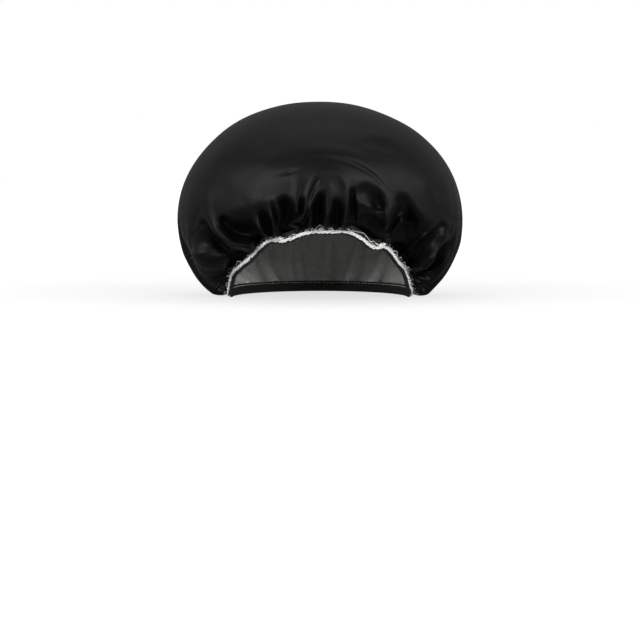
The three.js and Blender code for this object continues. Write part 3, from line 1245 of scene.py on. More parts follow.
    def puckers(self, angle: Array, along: Array) -> Array:
        """Find how far the fine puckers at the stitching stand out.

        Args:
            angle: Angles round the head, in radians.
            along: Distances along the cloth.

        Returns:
            Heights, in millimetres.
        """
        phase = wavy(angle, self.pucker_drifts, self.pucker_count / 2 * angle)
        height = self.pucker_height * wavy(angle, self.pucker_heights, 1.0)
        return height * np.abs(np.cos(phase)) * ease(along - 1, *self.pucker_rows)


# Pieces


@dataclass(frozen=True)
class Gathering:
    """Lets the cloth settle between the dome and the hem.

    The cloth is wider than the hem that it is drawn into. Each round, every short length of thread in
    it is pulled or pushed towards the length that it was cut to, the puffed shape pushes it out, and
    the hem holds its edge; so it buckles into gathers of its own.

    Attributes:
        start: Where the loose part starts, as a distance along the cloth.
        around: Lengths round the head.
        rows: Rows of points down to the hem.
        rounds: How often the lengths are mended.
        apart: Which neighbours stay apart, as a number of lengths round the head.
        open: How far they stay apart, as a share of the cloth between them.
        settled_row: Where the settled shape is taken over whole, as a distance along the cloth.
        spare: How much wider than the smooth form the cloth is cut, at distances along it.
        uneven: How that differs round the head.
        stiffness: Share of an error that is mended each round, for lengths.
        draw: How strongly the pull down to the hem straightens the folds each round.
        bend: As stiffness, for the folding of lengths on each other.
        puff: How far the puff pushes the cloth out each round, in mm.
        glide: Share of its last move that the cloth keeps.
        hold: Share of the way back to the laid shape each round, at the front and elsewhere.
        top_hold: What is added to that at the top of the loose part.
        top_end: Where that has faded out, as a distance along the cloth.
        as_laid: Share of the front from which on the lengths are cut as the cloth is laid.
        pinned: Shares of the front between which the cloth goes from free to pinned.
        proud: How far the cloth may stand out from the smooth form, in mm, at the front, side and back.
        drawn_in: Share of what stands out further that is taken back each round.
        droop: How far it may hang under the smooth form, in mm.
        lowest: How low it may hang over the hem's plane, in mm.
    """

    start: float = 0.16
    around: int = 480
    rows: int = 77
    rounds: int = 600
    apart: tuple[int, int] = (2, 4)
    open: float = 0.97
    settled_row: float = 0.56
    spare: tuple[tuple[float, float], ...] = (
        (1.0, 1.0),
        (1.1, 1.02),
        (1.25, 1.12),
        (1.5, 1.36),
        (1.8, 1.6),
        (2.0, 1.7),
    )
    uneven: Waves = ((5, 0.3, 0.7), (9, 0.22, 2.0), (14, 0.16, 0.0))
    stiffness: float = 0.48
    draw: float = 0.02
    bend: float = 0.12
    puff: float = 0.02
    glide: float = 0.88
    hold: tuple[float, float] = (0.1, 0.003)
    top_hold: float = 0.03
    top_end: float = 0.7
    as_laid: float = 0.4
    pinned: tuple[float, float] = (0.3, 0.95)
    proud: tuple[float, float, float] = (1.5, 0.5, 0.6)
    drawn_in: float = 0.5
    droop: float = 1.2
    lowest: float = 0.4

    def settle(self, form: CapForm) -> tuple[Array, Array]:
        """Let the cloth settle.

        Args:
            form: The cloth's form.

        Returns:
            The points, row by row, and the rows' distances along the cloth.
        """
        angle = np.arange(self.around) * math.tau / self.around
        alongs = np.linspace(self.start, 2, self.rows)
        angles, grid = np.meshgrid(angle, alongs)
        laid = form.folded(angles, grid, blurred(form.fullness(angles, grid), 2))
        settled = self.at_rest(form, angles, grid, laid)
        keep = ease(grid, self.start, self.settled_row)[..., None]
        return mix(laid, settled, keep), alongs

    def at_rest(self, form: CapForm, angles: Array, grid: Array, laid: Array) -> Array:
        """Find where the cloth comes to rest.

        Args:
            form: The cloth's form.
            angles: Angles of its points.
            grid: Their distances along the cloth.
            laid: The shape that the cloth is laid in, and starts from.

        Returns:
            The settled points.
        """
        smooth = form.smooth(angles, grid)
        out = form.outward(angles, grid)
        front = form.front_share(smooth)
        spare = np.interp(grid[:, 0], *zip(*self.spare))[:, None]
        uneven = wavy(angles, self.uneven, 1.0)
        across = np.linalg.norm(np.roll(smooth, -1, 1) - smooth, axis=-1) * (1 + (spare - 1) * uneven)
        as_laid = ease(front, 0, self.as_laid)
        across = mix(across, np.linalg.norm(np.roll(laid, -1, 1) - laid, axis=-1), as_laid)
        down = np.linalg.norm(np.diff(smooth, axis=0), axis=-1)
        down = mix(down, np.linalg.norm(np.diff(laid, axis=0), axis=-1), as_laid[1:])
        slant = np.sqrt(down**2 + across[1:] * across[:-1])
        free = np.ones((len(grid), 1, 1))
        free[0] = 0
        free[-1] = 0
        free = free * (1 - ease(front, *self.pinned))[..., None]
        hold = mix(self.hold[1], self.hold[0], front)
        hold = (hold + self.top_hold * (1 - ease(grid, self.start, self.top_end)))[..., None]
        proud = form.around_head(self.proud, angles)[..., None]
        lowest = np.maximum(smooth[..., 2] - self.droop, self.lowest)
        now, last = laid.copy(), laid.copy()
        for _ in range(self.rounds):
            glide = (now - last) * self.glide * free
            last = now
            now = now + glide + (self.push(now) * self.puff + (laid - now) * hold) * free
            self.mend_around(now, across, free)
            self.mend_rows(now, down, free)
            self.mend_slants(now, slant, free)
            self.part(now, across, free)
            relief = now - smooth
            now[1:-1] += self.draw * (0.5 * (relief[:-2] + relief[2:]) - relief[1:-1])
            excess = ((now - smooth) * out).sum(-1, keepdims=True) - proud
            now -= out * np.maximum(excess, 0) * self.drawn_in * free
            now[..., 2] = np.maximum(now[..., 2], lowest)
        return now

    def push(self, points: Array) -> Array:
        """Find the cloth's straight-out directions.

        Args:
            points: The cloth's points.

        Returns:
            The directions, of length 1.
        """
        sideways = np.roll(points, -1, 1) - np.roll(points, 1, 1)
        return unit(np.cross(np.gradient(points, axis=0), sideways))

    def mend_around(self, points: Array, length: Array, free: Array) -> None:
        """Mend the lengths that run round the head, in place.

        Args:
            points: The cloth's points.
            length: The lengths that they were cut to.
            free: How free each point is to move, from 0 to 1.
        """
        ahead = np.roll(points, -1, 1) - points
        size = np.linalg.norm(ahead, axis=-1, keepdims=True)
        share = 0.5 * self.stiffness
        fix = ahead * (share * (size - length[..., None]) / np.maximum(size, TINY)) * free
        points += fix - np.roll(fix, 1, 1)

    def mend_rows(self, points: Array, length: Array, free: Array) -> None:
        """Mend the lengths that run down to the hem, in place.

        Args:
            points: The cloth's points.
            length: The lengths that they were cut to.
            free: How free each point is to move, from 0 to 1.
        """
        ahead = points[1:] - points[:-1]
        size = np.linalg.norm(ahead, axis=-1, keepdims=True)
        fix = ahead * (0.5 * self.stiffness * (size - length[..., None]) / np.maximum(size, TINY))
        points[:-1] += fix * free[:-1]
        points[1:] -= fix * free[1:]

    def mend_slants(self, points: Array, length: Array, free: Array) -> None:
        """Mend both diagonals of each small square, in place, a little slower than its sides.

        Args:
            points: The cloth's points.
            length: The lengths that the diagonals were cut to.
            free: How free each point is to move, from 0 to 1.
        """
        for step in (1, -1):
            ahead = np.roll(points, -step, 1)[1:] - points[:-1]
            size = np.linalg.norm(ahead, axis=-1, keepdims=True)
            fix = ahead * (0.25 * self.stiffness * (size - length[..., None]) / np.maximum(size, TINY))
            points[:-1] += fix * free[:-1]
            points[1:] -= np.roll(fix, step, 1) * free[1:]

    def part(self, points: Array, across: Array, free: Array) -> None:
        """Push neighbours some lengths off apart, in place, so that the cloth doesn't fold sharply.

        Args:
            points: The cloth's points.
            across: The lengths round the head that they were cut to.
            free: How free each point is to move, from 0 to 1.
        """
        for step in self.apart:
            reach = across * step * self.open
            ahead = np.roll(points, -step, 1) - points
            size = np.linalg.norm(ahead, axis=-1, keepdims=True)
            short = np.minimum(size - reach[..., None], 0)
            fix = ahead * (0.5 * self.bend * short / np.maximum(size, TINY)) * free
            points += fix - np.roll(fix, step, 1)


def finer(points: Array, closed: bool) -> Array:
    """Put a rounded point between each two along the second axis.

    Args:
        points: A grid of points.
        closed: Whether the grid closes on itself along that axis.

    Returns:
        The finer grid.
    """
    if closed:
        before, after, beyond = np.roll(points, 1, 1), np.roll(points, -1, 1), np.roll(points, -2, 1)
        between = (9 * (points + after) - before - beyond) / 16
        return np.stack([points, between], 2).reshape(points.shape[0], -1, *points.shape[2:])
    before, beyond = 2 * points[:, :1] - points[:, 1:2], 2 * points[:, -1:] - points[:, -2:-1]
    longer = np.concatenate([before, points, beyond], 1)
    between = (9 * (longer[:, 1:-2] + longer[:, 2:-1]) - longer[:, :-3] - longer[:, 3:]) / 16
    found = np.empty((points.shape[0], 2 * points.shape[1] - 1, *points.shape[2:]))
    found[:, 0::2], found[:, 1::2] = points, between
    return found


def twice_as_fine(points: Array) -> Array:
    """Put rounded points between a grid's points, both round the head and down to the hem."""
    return np.swapaxes(finer(np.swapaxes(finer(points, True), 0, 1), False), 0, 1)


def blurred(values: Array, rounds: int) -> Array:
    """Soften a grid.

    Args:
        values: The grid, which closes on itself along its second axis.
        rounds: How often each value is blended with its neighbours.

    Returns:
        The softened grid.
    """
    for _ in range(rounds):
        values = 0.5 * values + 0.25 * (np.roll(values, 1, 1) + np.roll(values, -1, 1))
        above = np.concatenate([values[:1], values[:-1]])
        below = np.concatenate([values[1:], values[-1:]])
        values = 0.6 * values + 0.2 * (above + below)
    return values


@dataclass(frozen=True)
class LaidCloth:
    """The settled cloth's outer face.

    Attributes:
        grid: Its points, row by row from the crown to the hem, in mm.
        under: Directions in which a layer lies clear under them.
        rows: The rows' distances along the cloth.
    """

    grid: Array
    under: Array
    rows: Array

    def points(self, angle: Array, along: Array) -> Array:
        """Find points of the outer face.

        Args:
            angle: Angles round the head, in radians.
            along: Distances along the cloth.

        Returns:
            The points, in mm.
        """
        around = self.grid.shape[1]
        column = (angle / math.tau * around) % around
        left = np.floor(column).astype(int)
        row = np.interp(along, self.rows, np.arange(len(self.rows)))
        upper = np.minimum(np.floor(row).astype(int), len(self.rows) - 2)
        x, y = (column - left)[..., None], (row - upper)[..., None]
        left, right = left % around, (left + 1) % around
        above = mix(self.grid[upper, left], self.grid[upper, right], x)
        below = mix(self.grid[upper + 1, left], self.grid[upper + 1, right], x)
        return mix(above, below, y)


@dataclass(frozen=True)
class ClothGrid:
    """How finely the cloth is divided, and where its corners are.

    Attributes:
        dome_rows: Rows from the crown down to where the cloth is loose.
        crown_start: Where the first row lies, as a distance along the cloth.
        gathering: How the rest settles.
        cut_radius: Radius of the round cut of cloth, in mm.
        pinned_share: The share of the front at which the laid shape starts to take over.
        under_rounds: How much softer than the cloth the directions are in which the film lies under it.
        under_tilt: How far those directions tilt towards the front, at the front.
        under_reach: How much further the film keeps away there.
    """

    dome_rows: int = 8
    crown_start: float = 2e-3
    gathering: Gathering = field(default_factory=Gathering)
    cut_radius: float = 255.0
    pinned_share: float = 0.95
    under_rounds: int = 24
    under_tilt: float = 0.8
    under_reach: float = 2.4

    @property
    def around(self) -> int:
        """Steps round the head."""
        return 2 * self.gathering.around

    def lay(self, form: CapForm) -> LaidCloth:
        """Lay the grid on the form and let it settle.

        Args:
            form: The cloth's form.

        Returns:
            The settled cloth.
        """
        loose, loose_rows = self.gathering.settle(form)
        dome_rows = np.linspace(0, self.gathering.start, self.dome_rows, endpoint=False)
        dome_rows[0] = self.crown_start
        angle = np.arange(self.around // 2) * math.tau / (self.around // 2)
        angles, alongs = np.meshgrid(angle, dome_rows)
        dome = form.folded(angles, alongs, form.fullness(angles, alongs))
        points = twice_as_fine(np.concatenate([dome, loose]))
        rows = finer(np.concatenate([dome_rows, loose_rows])[None, :], False)[0]
        angle = np.arange(self.around) * math.tau / self.around
        angles, alongs = np.meshgrid(angle, rows)
        laid = form.folded(angles, alongs, blurred(form.fullness(angles, alongs), 2))
        front = form.front_share(form.smooth(angles, alongs))
        points = mix(points, laid, ease(front, self.pinned_share, 1)[..., None])
        relief = form.puckers(angles, alongs) + form.creases(angles, alongs)
        points = points + form.outward(angles, alongs) * relief[..., None]
        cleared = form.hem.clear(points, form.edge_out, form.tape_top, form.tape_fade)
        points = mix(cleared, points, front[..., None])
        sideways = np.roll(points, -1, 1) - np.roll(points, 1, 1)
        out = unit(np.cross(np.gradient(points, axis=0), sideways))
        inner = unit(unit(blurred(out, self.under_rounds)) - np.array([0.0, self.under_tilt, 0.0]))
        under = mix(out, self.under_reach * inner, front[..., None])
        return LaidCloth(points, under, rows)

    def faces(self, rows: int) -> list:
        """List the grid's faces, with a round one over the crown.

        Args:
            rows: The grid's rows.

        Returns:
            Each face's point numbers.
        """
        n = self.around
        found = [tuple(range(n))]
        for r in range(rows - 1):
            a, b = r * n, (r + 1) * n
            found.extend((a + k, b + k, b + (k + 1) % n, a + (k + 1) % n) for k in range(n))
        return found

    def add_cut(self, piece: bpy.types.Object, rows: Array) -> None:
        """Give a piece a UV map that holds its flat cut, in metres.

        Args:
            piece: A piece made on this grid.
            rows: Its rows' distances along the cloth.
        """
        angle = np.arange(self.around) * math.tau / self.around
        reach = rows[:, None] / 2 * self.cut_radius * MM
        flat = np.stack([reach * np.sin(angle), -reach * np.cos(angle)], -1).reshape(-1, 2)
        mesh = piece.data
        corners = np.empty(len(mesh.loops), np.int32)
        mesh.loops.foreach_get("vertex_index", corners)
        layer = mesh.uv_layers.new(name="cut")
        layer.data.foreach_set("uv", flat[corners].astype(np.float32).ravel())


@dataclass(frozen=True)
class ClothLayer:
    """One round of cloth, gathered into the hem.

    Attributes:
        name: The piece's name.
        node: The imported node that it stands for.
        depth: Distance of its outer face under the cap's outer face, in mm.
        thickness: The cloth's thickness, in mm.
        flat: Diameter of the flat cut, in mm.
        finish: Its finish.
        slot: Its material slot.
    """

    name: str
    node: str
    depth: float
    thickness: float
    flat: float
    finish: BlackSatin | MilkyFilm
    slot: Slot

    def build(self, grid: ClothGrid, laid: LaidCloth, origin: Array) -> bpy.types.Object:
        """Make the layer.

        Args:
            grid: The grid that the cloth is made on.
            laid: The settled cloth.
            origin: The pattern's origin in the row frame, in metres.

        Returns:
            The piece.
        """
        layer = ((laid.grid - laid.under * self.depth) * MM + origin).reshape(-1, 3)
        piece = make_piece(self.name, layer, grid.faces(len(laid.rows)), self.finish.make())
        grid.add_cut(piece, laid.rows)
        skin = piece.modifiers.new("thickness", "SOLIDIFY")
        skin.thickness = self.thickness * MM
        skin.offset = -1
        return seat(piece, self.slot, self.node)

    def declare(self, piece: bpy.types.Object, rests_on: bpy.types.Object, trims: list) -> None:
        """Args:
            piece: The layer; not used.
            rests_on: What it is sewn to; not used.
            trims: The separate pieces on it; not used.
        """


def hem_sweep(
    hem: HemLine, angles: Array, outline: Array, ripple: Array, origin: Array
) -> tuple[Array, list]:
    """Carry a closed outline round the hem.

    Args:
        hem: The hem's line.
        angles: Angles to stop at.
        outline: Corners as distances out from the head and up from the line.
        ripple: How far each corner is moved out at each angle.
        origin: The pattern's origin in the row frame, in metres.

    Returns:
        Points in metres, and faces.
    """
    rings = [hem.place(angles, out + ripple[:, k], up) for k, (out, up) in enumerate(outline)]
    points = np.stack(rings, 1).reshape(-1, 3) * MM + origin
    n, sides = len(angles), len(outline)
    faces = []
    for i in range(n):
        here, there = i * sides, (i + 1) % n * sides
        for k in range(sides):
            after = (k + 1) % sides
            faces.append((here + k, there + k, there + after, here + after))
    return points, faces


@dataclass(frozen=True)
class HemTape:
    """The black tape, folded up round the elastic as a channel and puckered by it.

    Attributes:
        thickness: The cloth's thickness, in mm.
        height: The channel's height, in mm.
        depth: Its depth from the head outwards, in mm.
        corner: How far its lower corners are cut round, in mm.
        ripple: How far its lips ripple to each side, in mm.
        ripples: Ripples round the hem.
        ripple_drifts: How the ripples crowd and spread round the hem.
        ripple_heights: How their height differs round the hem.
        steps: Steps round the hem.
        flat_width: Width of the flat strip, in mm.
        finish: Its finish.
    """

    thickness: float = 0.3
    height: float = 9.0
    depth: float = 2.5
    corner: float = 0.35
    ripple: float = 0.16
    ripples: int = 168
    ripple_drifts: Waves = ((9, 1.3, 0.0),)
    ripple_heights: Waves = ((31, 0.4, 0.0),)
    steps: int = 1008
    flat_width: float = 20.5
    finish: RibbedCloth = field(
        default_factory=lambda: RibbedCloth("woven_tape", "#1a1a1b", "#101011", 0.75, 0.7)
    )

    def outline(self) -> Array:
        """Find the channel's outline, with its lower corners and lips rounded.

        Returns:
            Corners as distances out from the head and up from the hem's line, in mm.
        """
        t, h, d, c = self.thickness, self.height, self.depth, self.corner
        corners = [(c, 0), (d - c, 0), (d - 0.3 * c, 0.3 * c), (d, c), (d, h / 2), (d, h - t / 2)]
        corners += [(d - t / 2, h), (d - t, h - t / 2), (d - t, h / 2), (d - t, t)]
        corners += [(t, t), (t, h / 2), (t, h - t / 2), (t / 2, h)]
        corners += [(0, h - t / 2), (0, h / 2), (0, c), (0.3 * c, 0.3 * c)]
        return np.array(corners)

    def build(self, hem: HemLine, origin: Array) -> bpy.types.Object:
        """Make the tape.

        Args:
            hem: The hem's line.
            origin: The pattern's origin in the row frame, in metres.

        Returns:
            The piece.
        """
        angles = hem.even_angles(self.steps)
        outline = self.outline()
        turn = np.arange(self.steps) * math.tau / self.steps
        phase = self.ripples * turn + wavy(turn, self.ripple_drifts)
        wave = np.sin(phase) * wavy(turn, self.ripple_heights, 1.0)
        ripple = self.ripple * wave[:, None] * (outline[:, 1] / self.height)[None, :]
        points, faces = hem_sweep(hem, angles, outline, ripple, origin)
        piece = make_piece("ribbed_hem_tape", points, faces, self.finish.make())
        return seat(piece, Slot.TAPE, "hem_tape")

    def declare(self, piece: bpy.types.Object, hem: HemLine, rests_on: bpy.types.Object) -> None:
        """Args:
            piece: The tape; not used.
            hem: The hem's line; its length is worked out and then not used.
            rests_on: What it is folded round; not used.
        """
        hem.length * MM


@dataclass(frozen=True)
class OverlockEdging:
    """The white overlock thread that binds the hem.

    Three plied strands wind along the edge. Thin thread ladders from them up onto the cloth, and slack
    loops and short fibres stand off them.

    Attributes:
        strands: How many strands wind along the edge.
        strand_radius: Their radius, in mm.
        out: How far outside the hem's line the middle of the strands lies, in mm.
        up: How far over the hem's line it lies, in mm.
        sway_out: How far each strand sways in and out, in mm.
        sway_up: How far it sways up and down, in mm.
        twist_length: Length of the hem for each twist, in mm.
        steps: Steps round the hem.
        ladder_radius: Radius of the thread that ladders onto the cloth, in mm.
        ladder_pitch: Length of the hem for each of its rungs, in mm.
        ladder_reach: How far it reaches onto the cloth, as a distance along the cloth.
        loop_share: Radius of the slack loops' thread, as a share of the ladder's.
        ring_mm: Mean radius of the edging, in mm.
        fibre_radius: Radius of the stray fibres, in mm.
        fibre_count: How many of them there are.
        fibre_seed: The seed of their random draws.
        fibre_lengths: How short and long they are, in mm.
        fibre_headings: How far they run along the hem, as shares of their length.
        fibre_lifts: How far up they stand, as shares of their length.
        fibre_pushes: How far out they stand, as shares of their length.
        fibre_curls: How far they curl, as shares of their length.
        loops: Slack loops, each by its angle and span in degrees, and its height and reach in mm.
        finish: The thread's finish.
    """

    strands: int = 3
    strand_radius: float = 0.62
    out: float = 3.7
    up: float = 2.5
    sway_out: float = 0.42
    sway_up: float = 0.98
    twist_length: float = 8.5
    steps: int = 1300
    ladder_radius: float = 0.17
    ladder_pitch: float = 2.7
    ladder_reach: float = 0.055
    loop_share: float = 1.15
    ring_mm: float = 83.0
    fibre_radius: float = 0.06
    fibre_count: int = 420
    fibre_seed: int = 7
    fibre_lengths: tuple[float, float] = (1.0, 2.6)
    fibre_headings: tuple[float, float] = (-1.1, 1.1)
    fibre_lifts: tuple[float, float] = (0.2, 1.0)
    fibre_pushes: tuple[float, float] = (0.1, 0.9)
    fibre_curls: tuple[float, float] = (-0.5, 0.5)
    loops: tuple[tuple[float, float, float, float], ...] = (
        (0.0, 7.0, 4.6, 1.4),
        (-4.5, 5.0, 2.2, 1.2),
        (26.0, 18.0, 3.4, 2.2),
        (33.0, 8.0, 3.6, 1.2),
        (52.0, 6.0, 2.8, 1.6),
        (57.0, 5.0, 3.2, 1.2),
        (61.5, 6.0, 2.4, 1.4),
        (-16.0, 7.0, 1.8, 1.4),
        (-24.0, 5.0, 2.6, 1.0),
        (-31.0, 9.0, 2.0, 1.4),
        (-42.0, 6.0, 2.6, 1.0),
        (-49.0, 6.0, 2.0, 1.4),
        (-58.0, 9.0, 2.8, 1.6),
        (82.0, 7.0, 2.0, 1.2),
        (-84.0, 8.0, 2.2, 1.0),
    )
    finish: SpunThread = field(default_factory=SpunThread)

    def strand(self, hem: HemLine, number: int) -> Array:
        """Find the centre line of one strand.

        Args:
            hem: The hem's line.
            number: The strand's number, from 0.

        Returns:
            Its points, in mm.
        """
        angles = hem.even_angles(self.steps)
        turn = np.arange(self.steps) * math.tau / self.steps
        twists = round(hem.length / self.twist_length)
        wind = twists * turn + math.tau * number / self.strands + 0.9 * np.sin(13 * turn + number)
        slack = 1 + 0.22 * np.sin(37 * turn + 2 * number) + 0.15 * np.sin(71 * turn + number)
        out = self.out + self.sway_out * slack * np.cos(wind)
        return hem.place(angles, out, self.up + self.sway_up * slack * np.sin(wind))

    def ladder(self, hem: HemLine, form: CapForm, cloth: LaidCloth) -> Array:
        """Find the centre line of the thread that ladders between the strands and the cloth.

        Args:
            hem: The hem's line.
            form: The cloth's form.
            cloth: The settled cloth.

        Returns:
            Its points, in mm.
        """
        rungs = round(hem.length / self.ladder_pitch)
        foot = hem.even_angles(rungs * 4)
        turn = np.arange(rungs * 4) * math.tau / (rungs * 4)
        low = hem.place(foot, self.out + 0.9, self.up + 0.9 + 0.3 * np.sin(53 * turn))
        reach = self.ladder_reach * (1 + 0.35 * np.sin(29 * turn) + 0.3 * np.sin(67 * turn + 1))
        along = 2 - reach
        high = cloth.points(foot, along) + form.outward(foot, along) * (self.ladder_radius + 0.12)
        edge = cloth.points(foot, 2 - reach * 0.3) + form.outward(foot, 2 - reach * 0.3) * 0.3
        path = np.empty_like(low)
        path[0::4], path[1::4], path[2::4], path[3::4] = low[0::4], edge[1::4], high[2::4], edge[3::4]
        return path

    def slack_loops(self, hem: HemLine) -> list[Array]:
        """Find the centre lines of the slack loops.

        Args:
            hem: The hem's line.

        Returns:
            Each loop's points, in mm.
        """
        found = []
        for at, span, height, reach in self.loops:
            share = np.linspace(0, 1, 17)
            bulge = np.sin(share * math.pi) ** 0.8
            angle = np.radians(at + span * (share - 0.5) + 0.12 * span * np.sin(share * math.tau))
            out = self.out + 0.7 + reach * bulge
            found.append(hem.place(angle, out, self.up + 0.9 + height * bulge))
        return found

    def fibres(self, hem: HemLine) -> list[Array]:
        """Find the centre lines of the short stray fibres that stand off the strands.

        Args:
            hem: The hem's line.

        Returns:
            Each fibre's points, in mm.
        """
        found = []
        chance = np.random.default_rng(self.fibre_seed)
        for start in chance.uniform(0, math.tau, self.fibre_count):
            length = chance.uniform(*self.fibre_lengths)
            heading = chance.uniform(*self.fibre_headings)
            lift = chance.uniform(*self.fibre_lifts)
            push = chance.uniform(*self.fibre_pushes)
            share = np.linspace(0, 1, 4)
            angle = start + heading * length * share / self.ring_mm
            curl = chance.uniform(*self.fibre_curls) * share**2
            out = self.out + 0.5 + length * push * (share + curl)
            found.append(hem.place(angle, out, self.up + 0.7 + length * lift * (share - curl)))
        return found

    def build(self, hem: HemLine, form: CapForm, cloth: LaidCloth, origin: Array) -> bpy.types.Object:
        """Make the edging.

        Args:
            hem: The hem's line.
            form: The cloth's form.
            cloth: The settled cloth.
            origin: The pattern's origin in the row frame, in metres.

        Returns:
            The piece.
        """
        parts = []
        turn = np.arange(self.steps) * math.tau / self.steps
        for number in range(self.strands):
            radius = self.strand_radius * (1 + 0.13 * np.sin(43 * turn + number) + 0.07 * np.sin(97 * turn))
            path = self.strand(hem, number) * MM + origin
            parts.append(tube(path, radius * MM, 7, True))
        parts.append(tube(self.ladder(hem, form, cloth) * MM + origin, self.ladder_radius * MM, 5, True))
        for path in self.slack_loops(hem):
            parts.append(tube(path * MM + origin, self.ladder_radius * self.loop_share * MM, 5, False))
        for path in self.fibres(hem):
            parts.append(tube(path * MM + origin, self.fibre_radius * MM, 3, False))
        points, faces = joined(parts)
        piece = make_piece("overlock_threads", points, faces, self.finish.make())
        return seat(piece, Slot.THREAD, "overlock_edging")


@dataclass(frozen=True)
class HemStitching:
    """The running stitches that close the tape, seen on its inner face.

    Attributes:
        stitch: Length of a stitch, in mm.
        gap: Length between two of them, in mm.
        radius: The thread's radius, in mm.
        out: How far outside the hem's line its middle lies, in mm.
        dip: How far a stitch's ends dip into the tape, in mm.
        up: How far over the hem's line it lies, in mm.
        stray: How far the stitches stray up and down, in mm.
        places: Places along the hem for each stitch and gap.
        finish: The thread's finish.
    """

    stitch: float = 2.6
    gap: float = 1.1
    radius: float = 0.2
    out: float = -0.42
    dip: float = 0.5
    up: float = 7.6
    stray: float = 0.06
    places: int = 10
    finish: SpunThread = field(default_factory=SpunThread)

    def build(self, hem: HemLine, origin: Array) -> bpy.types.Object:
        """Make the stitches, each a short length of thread that dips into the tape at its ends.

        Args:
            hem: The hem's line.
            origin: The pattern's origin in the row frame, in metres.

        Returns:
            The piece.
        """
        count = round(hem.length / (self.stitch + self.gap))
        places = np.arange(count * self.places)
        ends = hem.even_angles(count * self.places)
        share = self.stitch / (self.stitch + self.gap)
        parts = []
        for i in range(count):
            t = np.linspace(0, 1, 7)
            angle = np.interp(i * self.places + t * share * self.places, places, ends)
            dip = np.abs(2 * t - 1) ** 3
            up = self.up + self.stray * math.sin(i * 2.4)
            path = hem.place(angle, self.out + self.dip * dip, up)
            parts.append(tube(path * MM + origin, self.radius * MM, 6, False))
        points, faces = joined(parts)
        piece = make_piece("hem_running_stitches", points, faces, self.finish.make())
        return seat(piece, Slot.THREAD, "hem_stitch_thread")


class ShowerCap:
    """The whole cap, made of its cloth, hem, elastic and threads."""

    def __init__(self, nodes: dict) -> None:
        """Find where the pattern lies in the row frame.

        Args:
            nodes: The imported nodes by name.
        """
        self.nodes = nodes
        self.view = PhotoView()
        self.hem = HemLine()
        self.form = CapForm(self.hem, self.view)
        self.tape = HemTape()
        self.satin = ClothLayer("satin_cover", "satin_shell", 0.0, 0.3, 510.0, BlackSatin(), Slot.SATIN)
        self.film = ClothLayer("film_lining", "waterproof_lining", 0.62, 0.22, 506.0, MilkyFilm(), Slot.FILM)
        low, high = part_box("hem_tape")
        back = high.y - (self.hem.half_depth + self.tape.depth) * MM
        self.origin = np.array([(low.x + high.x) / 2, back, 0.0])

    def build(self) -> None:
        """Make every piece, from the cloth to the threads."""
        grid = ClothGrid()
        laid = grid.lay(self.form)
        cover = self.satin.build(grid, laid, self.origin)
        lining = self.film.build(grid, laid, self.origin)
        tape = self.tape.build(self.hem, self.origin)
        edging = OverlockEdging().build(self.hem, self.form, laid, self.origin)
        HemStitching().build(self.hem, self.origin)
        self.satin.declare(cover, tape, [edging])
        self.film.declare(lining, tape, [])
        self.tape.declare(tape, self.hem, self.nodes["elastic_band"])
        self.dress()

    def dress(self) -> None:
        """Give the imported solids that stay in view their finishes."""
        elastic = RibbedCloth("knitted_elastic", "#e9e7e2", "#cfccc4", 0.8, 1.0)
        for name, finish in (("elastic_band", elastic), ("elastic_join_stitch", SpunThread())):
            node = self.nodes[name]
            node.data.materials.clear()
            node.data.materials.append(finish.make())


# Studio


@dataclass(frozen=True)
class SoftBox:
    """A soft light.

    Attributes:
        name: Its name.
        place: Where it hangs, in metres.
        size: Its width and height, in metres.
        level: How bright its face is; a white card is 1.
    """

    name: str
    place: tuple[float, float, float]
    size: tuple[float, float]
    level: float

    def build(self, aim: Vector) -> bpy.types.Object:
        """Hang the light.

        Args:
            aim: The point that it faces, in metres.

        Returns:
            The light.
        """
        data = bpy.data.lights.new(self.name, "AREA")
        data.shape = "RECTANGLE"
        data.size, data.size_y = self.size
        data.energy = self.level * math.pi * self.size[0] * self.size[1]
        light = bpy.data.objects.new(self.name, data)
        bpy.context.scene.collection.objects.link(light)
        light.location = self.place
        light.rotation_euler = (aim - Vector(self.place)).to_track_quat("-Z", "Y").to_euler()
        return light


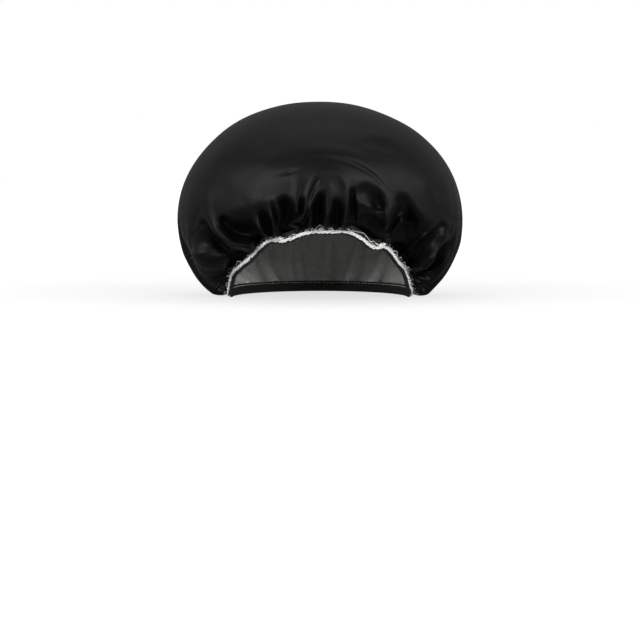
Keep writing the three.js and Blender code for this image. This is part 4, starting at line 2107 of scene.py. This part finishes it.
@dataclass(frozen=True)
class Studio:
    """A white studio: a white floor, a white surround, and soft boxes overhead, beside and in front.

    Attributes:
        floor_size: Width of the floor, in metres.
        floor_colour: The floor's own colour.
        floor_lifts: How much brighter the camera sees it, under the cap and far from it; white is 1.
        lift_reach: How far from the cap the second is reached, in metres.
        ambient: How bright the surround is to the light that falls on things; white is 1.
        aim: The point that the boxes face, in metres.
        boxes: The soft boxes.
    """

    floor_size: float = 14.0
    floor_colour: str = "#969696"
    floor_lifts: tuple[float, float] = (0.67, 1.0)
    lift_reach: float = 1.2
    ambient: float = 0.3
    aim: tuple[float, float, float] = (0.0, 0.0, 0.08)
    boxes: tuple[SoftBox, ...] = (
        SoftBox("left_box", (-2.1, -0.6, 1.0), (1.2, 1.2), 3.0),
        SoftBox("right_box", (2.1, -0.6, 1.0), (1.2, 1.2), 3.2),
        SoftBox("top_box", (0.0, 0.2, 2.1), (2.4, 1.8), 0.8),
        SoftBox("front_left_box", (-1.35, -2.3, 0.65), (1.0, 0.9), 9.2),
        SoftBox("front_right_box", (1.35, -2.3, 0.65), (1.0, 0.9), 9.2),
        SoftBox("low_left_box", (-1.9, -1.7, 0.3), (0.9, 0.5), 9.5),
        SoftBox("low_right_box", (1.9, -1.7, 0.3), (0.9, 0.5), 8.6),
    )

    def build(self) -> None:
        """Lay the floor, hang the lights and set the picture's colour handling."""
        scene = bpy.context.scene
        scene.view_settings.view_transform = "Standard"
        made = [self.floor()]
        for box in self.boxes:
            made.append(box.build(Vector(self.aim)))
        scene.world = self.surround()

    def floor(self) -> bpy.types.Object:
        """Make the floor, which the camera sees brighter than it is, so that it meets the surround.

        Returns:
            The floor.
        """
        half = self.floor_size / 2
        material = bpy.data.materials.new("white_floor")
        material.use_nodes = True
        tree = material.node_tree
        tree.nodes.clear()
        paint = add_node(tree, "ShaderNodeBsdfDiffuse", {"Color": linear(self.floor_colour)})
        seen = add_node(tree, "ShaderNodeLightPath").outputs["Is Camera Ray"]
        place = add_node(tree, "ShaderNodeNewGeometry").outputs["Position"]
        away = add_node(tree, "ShaderNodeVectorMath", {"operation": "LENGTH"}, {0: place})
        near, far = self.floor_lifts
        level = add_node(
            tree,
            "ShaderNodeMapRange",
            {"From Max": self.lift_reach, "To Min": near, "To Max": far},
            {"Value": away.outputs["Value"]},
        )
        lift = add_node(
            tree, "ShaderNodeMath", {"operation": "MULTIPLY"}, {0: seen, 1: level.outputs["Result"]}
        )
        glow = add_node(tree, "ShaderNodeEmission", {}, {"Strength": lift.outputs["Value"]})
        both = add_node(
            tree, "ShaderNodeAddShader", {}, {0: paint.outputs["BSDF"], 1: glow.outputs["Emission"]}
        )
        add_node(tree, "ShaderNodeOutputMaterial", {}, {"Surface": both.outputs["Shader"]})
        corners = np.array([(-half, -half, 0), (half, -half, 0), (half, half, 0), (-half, half, 0)])
        return make_piece("floor", corners, [(0, 1, 2, 3)], material, smooth=False)

    def surround(self) -> bpy.types.World:
        """Make the surround: white to the camera, dimmer to the light that falls on things.

        Returns:
            The world.
        """
        world = bpy.data.worlds.new("surround")
        world.use_nodes = True
        tree = world.node_tree
        seen = add_node(tree, "ShaderNodeLightPath").outputs["Is Camera Ray"]
        level = add_node(
            tree, "ShaderNodeMapRange", {"To Min": self.ambient, "To Max": 1.0}, {"Value": seen}
        ).outputs["Result"]
        tree.nodes["Background"].inputs["Color"].default_value = (1, 1, 1, 1)
        tree.links.new(level, tree.nodes["Background"].inputs["Strength"])
        return world


def main() -> None:
    """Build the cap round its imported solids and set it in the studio."""
    logging.basicConfig(level=logging.INFO, format="%(name)s: %(message)s")
    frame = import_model()
    cap = ShowerCap(frame["nodes"])
    cap.build()
    Studio().build()
    cap.view.place_camera(cap.origin)


if __name__ == "__main__":
    main()
